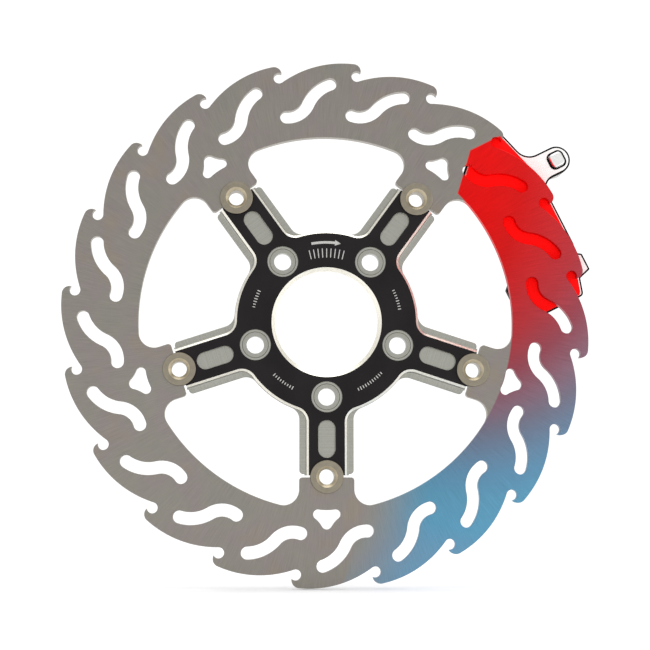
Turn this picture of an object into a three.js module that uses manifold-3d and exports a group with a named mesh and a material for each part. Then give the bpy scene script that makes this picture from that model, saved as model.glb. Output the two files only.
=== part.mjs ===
// Floating motorcycle brake disc, with the brake pad that bears on its inboard face.
//
// A hook-toothed steel rotor is carried on a five-armed aluminium carrier by five hollow steel
// bobbins. Each bobbin sits in two half-round notches, one in a lug of the rotor and one in the end
// of a carrier arm, and is held from behind by a wave washer, a flat washer and a circlip. The pad
// hangs behind the rotor by its ear, on a rounded-square guide pin that the caliper would hold.
//
// Millimetres, +Z up, +X right, the wheel's axle along Y, the outboard face towards -Y.
// The origin is the centre of the disc, on the middle plane of the rotor.
import * as THREE from "three";
import { mergeVertices } from "three/addons/utils/BufferGeometryUtils.js";
import Module from "manifold-3d";

// ---------------------------------------------------------------- driving dimensions

const ARMS = 5;
const TEETH_PER_ARM = 4;
const FIRST_ARM_DEG = 270; // direction of arm 1, measured anticlockwise from +X

const FIT = 0.3; // gap left between two pieces that touch
const FLOAT_CLEAR = 0.1; // left between a bobbin's head and the rotor shifted fully forward
const OVERCUT = 1.0; // how far a cutter runs past the face that it cuts
const CHORD = 0.12; // most that a chord strays from the arc it stands for
const WIDE_CHORD = 0.36; // the same on the pad's long hollow edge
const SHORTEST_EDGE = 0.02; // points of an outline closer than this count as one
const MERGE_WITHIN = 1e-4; // vertices closer than this count as one
const ROUND = 18; // facets round a bobbin, a washer or a bolt hole
const HUB_ROUND = 54; // facets round the hub

const ROTOR = {
  outerRadius: 146.05,
  bandWidth: 42.7, // from the tooth tips to the inner edge of the ring
  thickness: 5.0,
  lugReach: 18.3, // from the ring's inner edge in to the bobbin centre
  lugHalfWidth: 15.07,
  lugSetback: 0.25, // lug end, outwards of the bobbin centre
  lugFillet: 8.5,
  lugCorner: 1.8,
  axialFloat: 0.25, // how far the rotor can shift each way along the axle
};

const TOOTH = {
  notchRadius: 3.0, // round bite under each beak
  notchDepth: 6.85, // from the outer circle in to the bite's centre
  notchLeadDeg: 7.03, // bite's centre, clockwise of the tooth's own centre line
  noseRadius: 4.25,
  beakSpan: 3.5, // from the nose's centre to the bite's centre
};

const SLOT = {
  width: 7.0,
  hookRadius: 12.5, // inner half of the S
  hookOffset: -21.7, // hook's centre, clockwise of the tooth's centre line
  hookDepth: 19.05, // hook's centre, in from the outer circle
  hookStartDeg: -92.8,
  crossingDeg: -23.5, // direction in which the hook hands over to the sweep
  sweepRadius: 21.0, // outer half of the S
  sweepEndDeg: 109.0,
};

const KEYHOLE = {
  apexRise: 7.15, // centre of the apex lobe, out from the ring's inner edge
  apexRadius: 3.1,
  baseRise: 2.1,
  baseRadius: 2.7,
  baseHalfSpan: 4.85,
  flankRadius: 16, // hollow of the two flanks
  floorRadius: 30, // hollow of the base
};

const CARRIER = {
  boreRadius: 28.4,
  boreChamfer: 2.0, // at the front
  boreLead: 0.5, // the lighter chamfer behind
  rimRadius: 49.5, // black face of the central ring
  armHalfWidth: 9.9, // black face of an arm
  armFillet: 8.5,
  armSetback: 0.85, // arm end, inwards of the bobbin centre
  edgeChamfer: 1.2, // bright cut round the black face
  flangeStep: 2.8, // from the black face back to the flange
  flangeHalfWidth: 14.9,
  flangeSetback: 1.65,
  flangeFillet: 7.0,
  flangeCorner: 2.0,
  flangeLip: 1.4, // how far the flange stands out past the central ring
  hubFaceProud: 0.8, // hub face, behind the backs of the arms
  hubFaceRadius: 49.0,
};

const BOLT = { circleRadius: 41.275, holeRadius: 4.8, seatRadius: 8.4, seatDepth: 0.4 };

// Oblong pocket in each arm, between the bolt's seat and the bobbin's head.
const POCKET = { width: 9.4, depth: 1.6, seatGap: 4.425, headGap: 1.35 };

const BOBBIN = {
  bodyRadius: 6.5,
  headOverlap: 2.6, // head's radius beyond the body's
  headThickness: 1.0,
  headEdge: 0.35,
  boreRadius: 4.2,
  mouthRadius: 5.8,
  mouthDepth: 1.3,
  grooveDepth: 0.9,
  tail: 0.8, // land behind the circlip's groove
  tailChamfer: 0.4,
};

const WAVE_WASHER = { thickness: 0.3, swing: 0.25, waves: 3 };
const FLAT_WASHER = { thickness: 0.8 };
const CIRCLIP = { thickness: 0.8, width: 1.9, gapDeg: 46, earRadius: 1.5, eyeRadius: 0.65 };
const WASHER_INSET = 0.1; // washers stop this far inside the bobbin's head

const PAD = {
  directionDeg: 26.5, // the pad's middle, anticlockwise from +X
  offset: -1.75, // the pad's middle, clockwise of that direction
  halfLength: 51.4,
  crownDepth: 0.15, // flat outer edge, in from the tooth tips
  crownHalfLength: 23.2,
  shoulderDrop: 8.3, // ends of the outer edge, below the crown
  crownCorner: 8,
  shoulderCorner: 2.5,
  heelClear: 3.15, // hollow inner edge, outwards of the ring's inner edge
  leftFootRise: 13.0, // lower left corner, above the middle of the hollow edge
  rightFootRise: 6.2,
  footCorner: 2,
  rim: 1.0, // backing plate seen round the lining
  outerRim: 2.3, // the same along its outer edge
  liningThickness: 4.2,
  plateThickness: 4.5,
  shimThickness: 0.6,
  runningGap: 0.6,
  retract: 3.0,
};

// Places along the pad are measured clockwise from its middle, as it is seen from the front.
const EAR = {
  along: -23.85,
  rise: 13.15, // ear's centre, above the crown
  halfWidth: 7.8,
  leftRoot: 9,
  rightRoot: 7,
  eyeWidth: 8.2,
  eyeCorner: 2.4,
};
const TAB = { start: 28, end: 42, rise: 1.6, slant: 2.1, rootCorner: 0.5, tipCorner: 0.8 };
const HEEL = { start: 25.5, end: 38.5, drop: 3.85, slant: 4.1, corner: 1.2, leftEnd: -33 };

const PIN = {
  proud: 2.0, // tip, in front of the backing plate
  endChamfer: 0.6,
  shank: 8.0, // shank left behind the pad when it is fully retracted
  flangeRadius: 8.0,
  flangeThickness: 3.0,
};

// ---------------------------------------------------------------- derived places

const TEETH = ARMS * TEETH_PER_ARM;
const PITCH = (2 * Math.PI) / TEETH;
const FRONT = -ROTOR.thickness / 2;
const BACK = ROTOR.thickness / 2;
const RING_INNER = ROTOR.outerRadius - ROTOR.bandWidth;
const BOBBIN_CIRCLE = RING_INNER - ROTOR.lugReach;
const NOTCH_RADIUS = BOBBIN.bodyRadius + FIT;
const HEAD_RADIUS = BOBBIN.bodyRadius + BOBBIN.headOverlap;
const FLANGE_FRONT = FRONT + CARRIER.flangeStep;
const HUB_FACE = BACK + CARRIER.hubFaceProud;

const HEAD_BACK = FRONT - ROTOR.axialFloat - FLOAT_CLEAR;
const WAVE_MIDDLE = BACK + FIT + WAVE_WASHER.swing + WAVE_WASHER.thickness / 2;
const FLAT_FRONT = WAVE_MIDDLE + WAVE_WASHER.swing + WAVE_WASHER.thickness / 2 + FIT;
const CLIP_FRONT = FLAT_FRONT + FLAT_WASHER.thickness + FIT;
const CLIP_BACK = CLIP_FRONT + CIRCLIP.thickness;

const LINING_FRONT = BACK + PAD.runningGap;
const PLATE_FRONT = LINING_FRONT + PAD.liningThickness + FIT;
const SHIM_FRONT = PLATE_FRONT + PAD.plateThickness + FIT;

const rad = THREE.MathUtils.degToRad;
const armDirection = (arm) => rad(FIRST_ARM_DEG) - (arm * 2 * Math.PI) / ARMS;

// ---------------------------------------------------------------- outlines

// Points along an arc, from angle a0 to angle a1 about (cx, cy).
function arc(cx, cy, radius, a0, a1, chord = CHORD) {
  const step = 2 * Math.acos(1 - Math.min(chord / radius, 1));
  const count = Math.max(2, Math.ceil(Math.abs(a1 - a0) / step));
  return Array.from({ length: count + 1 }, (_, i) => {
    const a = a0 + ((a1 - a0) * i) / count;
    return new THREE.Vector2(cx + radius * Math.cos(a), cy + radius * Math.sin(a));
  });
}

const polar = (radius, angle) =>
  new THREE.Vector2(radius * Math.cos(angle), radius * Math.sin(angle));
const heading = (from, to) => Math.atan2(to.y - from.y, to.x - from.x);

// The same angle, brought to at least (or at most) a given one by whole turns.
const atLeast = (angle, low) => angle + 2 * Math.PI * Math.ceil((low - angle) / (2 * Math.PI));
const atMost = (angle, high) => angle - 2 * Math.PI * Math.ceil((angle - high) / (2 * Math.PI));

// One closed outline from several runs of points, without repeated ones.
function closed(...runs) {
  const points = runs.flat();
  return points.filter((p, i) => p.distanceTo(points[(i + 1) % points.length]) > SHORTEST_EDGE);
}

// Points drawn with the arm or tooth standing straight up, turned to its real direction.
function turned(points, direction) {
  const origin = new THREE.Vector2();
  return points.map((p) => p.clone().rotateAround(origin, direction - Math.PI / 2));
}

// A run and its mirror image in the upright centre line.
function mirrored(run) {
  return [...run, ...run.map((p) => new THREE.Vector2(-p.x, p.y)).reverse()];
}

// Where two circles cross: the crossing on the left of the line from the first to the second.
function crossing(c1, r1, c2, r2) {
  const d = c1.distanceTo(c2);
  const along = (r1 * r1 - r2 * r2 + d * d) / (2 * d);
  const side = Math.sqrt(r1 * r1 - along * along);
  const u = c2.clone().sub(c1).divideScalar(d);
  return new THREE.Vector2(
    c1.x + along * u.x - side * u.y,
    c1.y + along * u.y + side * u.x,
  );
}

// Centre line angle between two polar radii that lie a given distance apart.
const angleApart = (r1, r2, distance) =>
  Math.acos((r1 * r1 + r2 * r2 - distance * distance) / (2 * r1 * r2));

// A polygon with each corner [x, y, radius] rounded.
function rounded(corners) {
  return closed(
    ...corners.map(([x, y, radius], i) => {
      const corner = new THREE.Vector2(x, y);
      if (!radius) return [corner];
      const [px, py] = corners[(i + corners.length - 1) % corners.length];
      const [nx, ny] = corners[(i + 1) % corners.length];
      const before = new THREE.Vector2(px - x, py - y).normalize();
      const after = new THREE.Vector2(nx - x, ny - y).normalize();
      const half = Math.acos(before.dot(after)) / 2;
      const middle = before.clone().add(after).normalize();
      const centre = corner.clone().addScaledVector(middle, radius / Math.sin(half));
      const start = corner.clone().addScaledVector(before, radius / Math.tan(half));
      const end = corner.clone().addScaledVector(after, radius / Math.tan(half));
      const a0 = heading(centre, start);
      const sweep = heading(centre, end) - a0;
      const shortest = Math.atan2(Math.sin(sweep), Math.cos(sweep));
      return arc(centre.x, centre.y, radius, a0, a0 + shortest);
    }),
  );
}

// ---------------------------------------------------------------- solids

const wasm = await Module();
wasm.setup();

function solid(geometry) {
  const bare = geometry.clone();
  bare.deleteAttribute("normal");
  bare.deleteAttribute("uv");
  const merged = mergeVertices(bare, MERGE_WITHIN);
  return new wasm.Manifold(
    new wasm.Mesh({
      numProp: 3,
      vertProperties: new Float32Array(merged.attributes.position.array),
      triVerts: new Uint32Array(merged.index.array),
    }),
  );
}

function geometryOf(manifold) {
  const mesh = manifold.getMesh();
  const geometry = new THREE.BufferGeometry();
  geometry.setAttribute("position", new THREE.BufferAttribute(mesh.vertProperties, 3));
  geometry.setIndex(new THREE.BufferAttribute(mesh.triVerts, 1));
  geometry.computeVertexNormals();
  return geometry;
}

// A plate standing across the axle, between two stations along Y. Its outline is drawn as it is
// seen from the front: first coordinate to the right, second one up.
function plate(outline, holes, front, back, bevel = 0) {
  const anticlockwise = THREE.ShapeUtils.isClockWise(outline) ? [...outline].reverse() : outline;
  const shape = new THREE.Shape(anticlockwise);
  shape.holes = holes.map((hole) => new THREE.Path(hole));
  const geometry = new THREE.ExtrudeGeometry(shape, {
    depth: back - front - 2 * bevel,
    bevelEnabled: bevel > 0,
    bevelThickness: bevel,
    bevelSize: bevel,
    bevelOffset: -bevel,
    bevelSegments: 1,
  });
  geometry.rotateX(Math.PI / 2);
  geometry.translate(0, back - bevel, 0);
  return geometry;
}

// A ring or disc turned about a line along Y. The section runs anticlockwise in (radius, y).
function turning(section, segments) {
  const points = section.map(([r, y]) => new THREE.Vector2(r, y));
  return new THREE.LatheGeometry([...points, points[0]], segments);
}

function mesh(name, geometry, colour, roughness, metalness) {
  const material = new THREE.MeshStandardMaterial({ color: colour, roughness, metalness });
  const made = new THREE.Mesh(geometry, material);
  made.name = name;
  return made;
}

// ---------------------------------------------------------------- rotor

// The hooked outer edge, anticlockwise. Every tooth is a bite, a nose round the beak and a long
// back. The back touches the outer circle at the nose and the next bite on its way down, which
// settles its radius.
function toothedEdge() {
  const { outerRadius } = ROTOR;
  const { notchRadius, noseRadius, beakSpan } = TOOTH;
  const biteCircle = outerRadius - TOOTH.notchDepth;
  const noseCircle = outerRadius - noseRadius;
  const lead = angleApart(biteCircle, noseCircle, beakSpan);
  const reach = biteCircle * Math.cos(PITCH - lead);
  const backRadius =
    (outerRadius ** 2 + biteCircle ** 2 - notchRadius ** 2 - 2 * outerRadius * reach) /
    (2 * (outerRadius + notchRadius - reach));
  const runs = [];
  for (let tooth = 0; tooth < TEETH; tooth++) {
    const biteAngle = rad(FIRST_ARM_DEG - TOOTH.notchLeadDeg) + tooth * PITCH;
    const noseAngle = biteAngle + lead;
    const bite = polar(biteCircle, biteAngle);
    const nose = polar(noseCircle, noseAngle);
    const back = polar(outerRadius - backRadius, noseAngle);
    const backBefore = polar(outerRadius - backRadius, noseAngle - PITCH);
    const nextBite = polar(biteCircle, biteAngle + PITCH);
    const beak = crossing(nose, noseRadius, bite, notchRadius);
    const biteStart = heading(bite, backBefore);
    const beakFromNose = heading(nose, beak);
    runs.push(
      arc(bite.x, bite.y, notchRadius, biteStart, atMost(heading(bite, beak), biteStart)),
      arc(nose.x, nose.y, noseRadius, beakFromNose, atLeast(noseAngle, beakFromNose)),
      arc(back.x, back.y, backRadius, noseAngle, atLeast(heading(back, nextBite), noseAngle)),
    );
  }
  return closed(...runs);
}

// One S-shaped slot, drawn upright: a tight hook that hands over to a wider sweep.
function slotOutline() {
  const { hookRadius, sweepRadius } = SLOT;
  const half = SLOT.width / 2;
  const start = rad(SLOT.hookStartDeg);
  const handover = rad(SLOT.crossingDeg);
  const end = rad(SLOT.sweepEndDeg);
  const hook = new THREE.Vector2(SLOT.hookOffset, ROTOR.outerRadius - SLOT.hookDepth);
  const sweep = hook.clone().add(polar(hookRadius + sweepRadius, handover));
  const inner = hook.clone().add(polar(hookRadius, start));
  const outer = sweep.clone().add(polar(sweepRadius, end));
  return closed(
    arc(hook.x, hook.y, hookRadius + half, start, handover),
    arc(sweep.x, sweep.y, sweepRadius - half, handover + Math.PI, end),
    arc(outer.x, outer.y, half, end - Math.PI, end),
    arc(sweep.x, sweep.y, sweepRadius + half, end, handover + Math.PI),
    arc(hook.x, hook.y, hookRadius - half, handover, start),
    arc(inner.x, inner.y, half, start + Math.PI, start + 2 * Math.PI),
  );
}

// The three-lobed lightening hole at the root of each lug, drawn upright.
function keyholeOutline() {
  const { apexRadius, baseRadius, baseHalfSpan, flankRadius, floorRadius } = KEYHOLE;
  const base = RING_INNER + KEYHOLE.baseRise;
  const lobes = [
    { at: new THREE.Vector2(0, RING_INNER + KEYHOLE.apexRise), radius: apexRadius, side: flankRadius },
    { at: new THREE.Vector2(-baseHalfSpan, base), radius: baseRadius, side: floorRadius },
    { at: new THREE.Vector2(baseHalfSpan, base), radius: baseRadius, side: flankRadius },
  ];
  const hollows = lobes.map((lobe, i) => {
    const next = lobes[(i + 1) % lobes.length];
    return crossing(next.at, lobe.side + next.radius, lobe.at, lobe.side + lobe.radius);
  });
  return closed(
    ...lobes.flatMap((lobe, i) => {
      const before = hollows[(i + lobes.length - 1) % lobes.length];
      const after = hollows[i];
      const next = lobes[(i + 1) % lobes.length];
      const lobeStart = heading(lobe.at, before);
      const hollowStart = heading(after, lobe.at);
      return [
        arc(lobe.at.x, lobe.at.y, lobe.radius, lobeStart, atLeast(heading(lobe.at, after), lobeStart)),
        arc(after.x, after.y, lobe.side, hollowStart, atMost(heading(after, next.at), hollowStart)),
      ];
    }),
  );
}

// The inner edge of the ring with its five notched lugs.
function luggedEdge() {
  const { lugHalfWidth, lugFillet, lugCorner, lugSetback } = ROTOR;
  const lugEnd = BOBBIN_CIRCLE + lugSetback;
  const across = lugHalfWidth + lugFillet;
  const up = Math.sqrt((RING_INNER - lugFillet) ** 2 - across ** 2);
  const ringStart = Math.atan2(up, -across);
  const windowMiddle = Math.PI / 2 + Math.PI / ARMS;
  const notchStart = Math.PI - Math.asin(lugSetback / NOTCH_RADIUS);
  const cornerX = -lugHalfWidth + lugCorner;
  const left = [
    ...arc(0, 0, RING_INNER, windowMiddle, ringStart),
    ...arc(-across, up, lugFillet, ringStart, 0),
    ...arc(cornerX, lugEnd + lugCorner, lugCorner, Math.PI, 1.5 * Math.PI),
    ...arc(0, BOBBIN_CIRCLE, NOTCH_RADIUS, notchStart, Math.PI / 2),
  ];
  const runs = [];
  for (let arm = 0; arm < ARMS; arm++) runs.push(turned(mirrored(left), armDirection(arm)));
  return closed(...runs);
}

function rotorGeometry() {
  const holes = [luggedEdge()];
  for (let arm = 0; arm < ARMS; arm++) holes.push(turned(keyholeOutline(), armDirection(arm)));
  for (let tooth = 0; tooth < TEETH; tooth++) {
    holes.push(turned(slotOutline(), rad(FIRST_ARM_DEG) + tooth * PITCH));
  }
  return plate(toothedEdge(), holes, FRONT, BACK);
}

// ---------------------------------------------------------------- carrier

// A round hub with five straight arms, blended into it by fillets.
function star(hubRadius, halfWidth, fillet, end, corner) {
  const across = halfWidth + fillet;
  const up = Math.sqrt((hubRadius + fillet) ** 2 - across ** 2);
  const hubEnd = Math.atan2(up, -across);
  const left = [
    ...arc(0, 0, hubRadius, Math.PI / 2 + Math.PI / ARMS, hubEnd),
    ...arc(-across, up, fillet, hubEnd - Math.PI, 0),
    ...arc(-halfWidth + corner, end - corner, corner, Math.PI, Math.PI / 2),
  ];
  const runs = [];
  for (let arm = 0; arm < ARMS; arm++) runs.push(turned(mirrored(left), armDirection(arm)));
  return closed(...runs);
}

// Cutter for the hub bore, opening out into a chamfer at the front and a light one behind.
function boreCutter() {
  const { boreRadius, boreChamfer, boreLead } = CARRIER;
  return turning(
    [
      [0, FRONT - OVERCUT],
      [boreRadius + boreChamfer + OVERCUT, FRONT - OVERCUT],
      [boreRadius, FRONT + boreChamfer],
      [boreRadius, HUB_FACE - boreLead],
      [boreRadius + boreLead + OVERCUT, HUB_FACE + OVERCUT],
      [0, HUB_FACE + OVERCUT],
    ],
    HUB_ROUND,
  );
}

// Cutter for a bolt's hole and the shallow round seat for its head.
function boltCutter() {
  const { holeRadius, seatRadius, seatDepth } = BOLT;
  return turning(
    [
      [0, FRONT - OVERCUT],
      [seatRadius, FRONT - OVERCUT],
      [seatRadius, FRONT + seatDepth],
      [holeRadius, FRONT + seatDepth],
      [holeRadius, HUB_FACE + OVERCUT],
      [0, HUB_FACE + OVERCUT],
    ],
    ROUND,
  );
}

// The oblong pocket between the bolt's seat and the bobbin's head, drawn upright.
function pocketOutline() {
  const radius = POCKET.width / 2;
  const outer = BOBBIN_CIRCLE - HEAD_RADIUS - POCKET.headGap - radius;
  const inner = BOLT.circleRadius + BOLT.seatRadius + POCKET.seatGap + radius;
  return closed(arc(0, outer, radius, 0, Math.PI), arc(0, inner, radius, Math.PI, 2 * Math.PI));
}

// What is milled off beyond the square end of an arm, drawn upright.
function armTrim() {
  const half = CARRIER.flangeHalfWidth + OVERCUT;
  const near = BOBBIN_CIRCLE - CARRIER.armSetback;
  const far = BOBBIN_CIRCLE + BOBBIN.bodyRadius;
  return [
    new THREE.Vector2(-half, near),
    new THREE.Vector2(half, near),
    new THREE.Vector2(half, far),
    new THREE.Vector2(-half, far),
  ];
}

function carrierGeometry() {
  const { rimRadius, armHalfWidth, armFillet, edgeChamfer, flangeHalfWidth } = CARRIER;
  const corner = 2 * edgeChamfer;
  const face = star(
    rimRadius + edgeChamfer,
    armHalfWidth + edgeChamfer,
    armFillet - edgeChamfer,
    BOBBIN_CIRCLE - CARRIER.armSetback + corner,
    corner,
  );
  const flange = star(
    rimRadius + CARRIER.flangeLip,
    flangeHalfWidth,
    CARRIER.flangeFillet,
    BOBBIN_CIRCLE - CARRIER.flangeSetback,
    CARRIER.flangeCorner,
  );
  const hubFace = turning(
    [
      [0, FLANGE_FRONT + edgeChamfer],
      [CARRIER.hubFaceRadius, FLANGE_FRONT + edgeChamfer],
      [CARRIER.hubFaceRadius, HUB_FACE],
      [0, HUB_FACE],
    ],
    HUB_ROUND,
  );
  let body = solid(plate(face, [], FRONT, FLANGE_FRONT + edgeChamfer, edgeChamfer))
    .add(solid(plate(flange, [], FLANGE_FRONT, BACK)))
    .add(solid(hubFace))
    .subtract(solid(boreCutter()));
  for (let arm = 0; arm < ARMS; arm++) {
    const direction = armDirection(arm);
    const between = polar(BOLT.circleRadius, direction);
    const pocket = turned(pocketOutline(), direction);
    const trim = turned(armTrim(), direction);
    const notch = turned(arc(0, BOBBIN_CIRCLE, NOTCH_RADIUS, 0, 2 * Math.PI).slice(1), direction);
    body = body
      .subtract(solid(boltCutter().translate(between.x, 0, between.y)))
      .subtract(solid(plate(pocket, [], FRONT - OVERCUT, FRONT + POCKET.depth)))
      .subtract(solid(plate(trim, [], FRONT - OVERCUT, BACK)))
      .subtract(solid(plate(notch, [], FRONT - OVERCUT, BACK + OVERCUT)));
  }
  return geometryOf(body);
}

// ---------------------------------------------------------------- bobbins and what holds them

function bobbinGeometry() {
  const { bodyRadius, boreRadius, mouthRadius, headEdge, tailChamfer } = BOBBIN;
  const headFront = HEAD_BACK - BOBBIN.headThickness;
  const grooveFront = CLIP_FRONT - FIT;
  const grooveBack = CLIP_BACK + FIT;
  const tailEnd = grooveBack + BOBBIN.tail;
  const grooveRadius = bodyRadius - BOBBIN.grooveDepth;
  return turning(
    [
      [mouthRadius, headFront],
      [HEAD_RADIUS - headEdge, headFront],
      [HEAD_RADIUS, headFront + headEdge],
      [HEAD_RADIUS, HEAD_BACK],
      [bodyRadius, HEAD_BACK],
      [bodyRadius, grooveFront],
      [grooveRadius, grooveFront],
      [grooveRadius, grooveBack],
      [bodyRadius, grooveBack],
      [bodyRadius, tailEnd - tailChamfer],
      [bodyRadius - tailChamfer, tailEnd],
      [boreRadius, tailEnd],
      [boreRadius, headFront + BOBBIN.mouthDepth],
    ],
    ROUND,
  );
}

// Section of a washer that slips over the bobbin behind the rotor and the carrier.
function washerSection(front, back) {
  const inner = BOBBIN.bodyRadius + FIT;
  const outer = HEAD_RADIUS - WASHER_INSET;
  return [
    [inner, front],
    [outer, front],
    [outer, back],
    [inner, back],
  ];
}

function flatWasherGeometry() {
  return turning(washerSection(FLAT_FRONT, FLAT_FRONT + FLAT_WASHER.thickness), ROUND);
}

// A flat ring bent into waves round its circumference.
function waveWasherGeometry() {
  const { thickness, swing, waves } = WAVE_WASHER;
  const section = washerSection(WAVE_MIDDLE - thickness / 2, WAVE_MIDDLE + thickness / 2);
  const geometry = turning(section, ROUND);
  const position = geometry.attributes.position;
  for (let i = 0; i < position.count; i++) {
    const around = Math.atan2(position.getZ(i), position.getX(i));
    position.setY(i, position.getY(i) + swing * Math.cos(waves * around));
  }
  return geometry;
}

// An external circlip: an open ring that ends in two eyed ears.
function circlipGeometry() {
  const inner = BOBBIN.bodyRadius - BOBBIN.grooveDepth + FIT;
  const outer = inner + CIRCLIP.width;
  const start = Math.PI / 2 + rad(CIRCLIP.gapDeg) / 2;
  const end = start + 2 * Math.PI - rad(CIRCLIP.gapDeg);
  const ring = closed(arc(0, 0, outer, start, end), arc(0, 0, inner, end, start));
  let body = solid(plate(ring, [], CLIP_FRONT, CLIP_BACK));
  for (const angle of [start, end]) {
    const ear = polar(inner + CIRCLIP.earRadius, angle);
    const lobe = arc(ear.x, ear.y, CIRCLIP.earRadius, 0, 2 * Math.PI).slice(1);
    body = body.add(solid(plate(lobe, [], CLIP_FRONT, CLIP_BACK)));
  }
  for (const angle of [start, end]) {
    const ear = polar(inner + CIRCLIP.earRadius, angle);
    const eye = arc(ear.x, ear.y, CIRCLIP.eyeRadius, 0, 2 * Math.PI).slice(1);
    body = body.subtract(solid(plate(eye, [], CLIP_FRONT - OVERCUT, CLIP_BACK + OVERCUT)));
  }
  return geometryOf(body);
}

// ---------------------------------------------------------------- pad and guide pin

// Pad outlines are drawn upright, with the pad's middle straight above the disc's centre, and
// then turned and shifted to where the pad hangs.
const CROWN = ROTOR.outerRadius - PAD.crownDepth;
const SHOULDER = CROWN - PAD.shoulderDrop;
const SHOULDER_SLOPE = PAD.shoulderDrop / (PAD.halfLength - PAD.crownHalfLength);
const edgeAt = (along) => CROWN - SHOULDER_SLOPE * (Math.abs(along) - PAD.crownHalfLength);
const EAR_CENTRE = CROWN + EAR.rise;
const HEEL_LOW = RING_INNER - HEEL.drop;

function inPlace(points) {
  const shifted = points.map((p) => new THREE.Vector2(p.x + PAD.offset, p.y));
  return turned(shifted, rad(PAD.directionDeg));
}

// The hollow inner edge, concentric with the disc, from one station along the pad to another.
function hollowEdge(from, to, inset) {
  const radius = RING_INNER + PAD.heelClear + inset;
  const a0 = Math.acos((from + PAD.offset) / radius);
  const a1 = Math.acos((to + PAD.offset) / radius);
  return arc(-PAD.offset, 0, radius, a0, a1, WIDE_CHORD).map((p) => [p.x, p.y, 0]);
}

// The pad's plain outline, clockwise from its lower left, drawn in by an inset all round, or by
// another along its outer edge.
function plainPad(inset, outerInset = inset) {
  const end = PAD.halfLength - inset;
  const crown = CROWN - outerInset;
  const shoulder = SHOULDER - outerInset;
  const hollow = RING_INNER + PAD.heelClear + inset;
  return rounded([
    [-end, hollow + PAD.leftFootRise, PAD.footCorner],
    [-end, shoulder, PAD.shoulderCorner],
    [-PAD.crownHalfLength, crown, PAD.crownCorner],
    [PAD.crownHalfLength, crown, PAD.crownCorner],
    [end, shoulder, PAD.shoulderCorner],
    [end, hollow + PAD.rightFootRise, PAD.footCorner],
    ...hollowEdge(HEEL.end + inset, HEEL.leftEnd + inset, inset),
  ]);
}

// The backing plate's outline: the plain pad with its ear, its locating tab and its heel.
function backingOutline() {
  const hollow = RING_INNER + PAD.heelClear;
  const earLeft = EAR.along - EAR.halfWidth;
  const earRight = EAR.along + EAR.halfWidth;
  const earTop = EAR_CENTRE + EAR.halfWidth;
  const tabTop = CROWN + TAB.rise;
  return rounded([
    [-PAD.halfLength, hollow + PAD.leftFootRise, PAD.footCorner],
    [-PAD.halfLength, SHOULDER, PAD.shoulderCorner],
    [earLeft, edgeAt(earLeft), EAR.leftRoot],
    [earLeft, earTop, EAR.halfWidth],
    [earRight, earTop, EAR.halfWidth],
    [earRight, CROWN, EAR.rightRoot],
    [PAD.crownHalfLength, CROWN, PAD.crownCorner],
    [TAB.start, edgeAt(TAB.start), TAB.rootCorner],
    [TAB.start + TAB.slant, tabTop, TAB.tipCorner],
    [TAB.end - TAB.slant, tabTop, TAB.tipCorner],
    [TAB.end, edgeAt(TAB.end), TAB.tipCorner],
    [PAD.halfLength, SHOULDER, PAD.shoulderCorner],
    [PAD.halfLength, hollow + PAD.rightFootRise, PAD.footCorner],
    [HEEL.end, HEEL_LOW, HEEL.corner],
    [HEEL.start + HEEL.slant, HEEL_LOW, HEEL.corner],
    ...hollowEdge(HEEL.start, HEEL.leftEnd, 0),
  ]);
}

// A square with round corners about the centre of the ear.
function earSquare(width, corner) {
  const half = width / 2;
  return rounded([
    [EAR.along - half, EAR_CENTRE - half, corner],
    [EAR.along - half, EAR_CENTRE + half, corner],
    [EAR.along + half, EAR_CENTRE + half, corner],
    [EAR.along + half, EAR_CENTRE - half, corner],
  ]);
}

function backingPlateGeometry() {
  const eye = inPlace(earSquare(EAR.eyeWidth, EAR.eyeCorner));
  return plate(inPlace(backingOutline()), [eye], PLATE_FRONT, PLATE_FRONT + PAD.plateThickness);
}

function liningGeometry() {
  const outline = inPlace(plainPad(PAD.rim, PAD.outerRim));
  return plate(outline, [], LINING_FRONT, LINING_FRONT + PAD.liningThickness);
}

function shimGeometry() {
  return plate(inPlace(plainPad(2 * PAD.rim)), [], SHIM_FRONT, SHIM_FRONT + PAD.shimThickness);
}

function guidePinGeometry() {
  const tip = PLATE_FRONT - PIN.proud;
  const shoulder = SHIM_FRONT + PAD.shimThickness + PAD.retract + PIN.shank;
  const square = inPlace(earSquare(EAR.eyeWidth - 2 * FIT, EAR.eyeCorner - FIT));
  const [centre] = inPlace([new THREE.Vector2(EAR.along, EAR_CENTRE)]);
  const flange = turning(
    [
      [0, shoulder],
      [PIN.flangeRadius, shoulder],
      [PIN.flangeRadius, shoulder + PIN.flangeThickness],
      [0, shoulder + PIN.flangeThickness],
    ],
    ROUND,
  ).translate(centre.x, 0, centre.y);
  const shank = plate(square, [], tip, shoulder + PIN.flangeThickness / 2, PIN.endChamfer);
  return geometryOf(solid(shank).add(solid(flange)));
}

// ---------------------------------------------------------------- assembly

const part = new THREE.Group();

part.add(mesh("rotor", rotorGeometry(), 0x8f8a82, 0.36, 1));
part.add(mesh("carrier", carrierGeometry(), 0x242122, 0.42, 0.6));

for (let arm = 0; arm < ARMS; arm++) {
  const set = new THREE.Group();
  const centre = polar(BOBBIN_CIRCLE, armDirection(arm));
  set.position.set(centre.x, 0, centre.y);
  set.rotation.y = Math.PI / 2 - armDirection(arm);
  set.add(mesh(`bobbin_${arm + 1}`, bobbinGeometry(), 0x8c8474, 0.34, 1));
  set.add(mesh(`wave_washer_${arm + 1}`, waveWasherGeometry(), 0x7d7a75, 0.3, 1));
  set.add(mesh(`flat_washer_${arm + 1}`, flatWasherGeometry(), 0xa3a19c, 0.35, 1));
  set.add(mesh(`circlip_${arm + 1}`, circlipGeometry(), 0x3a3836, 0.4, 1));
  part.add(set);
}

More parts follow.
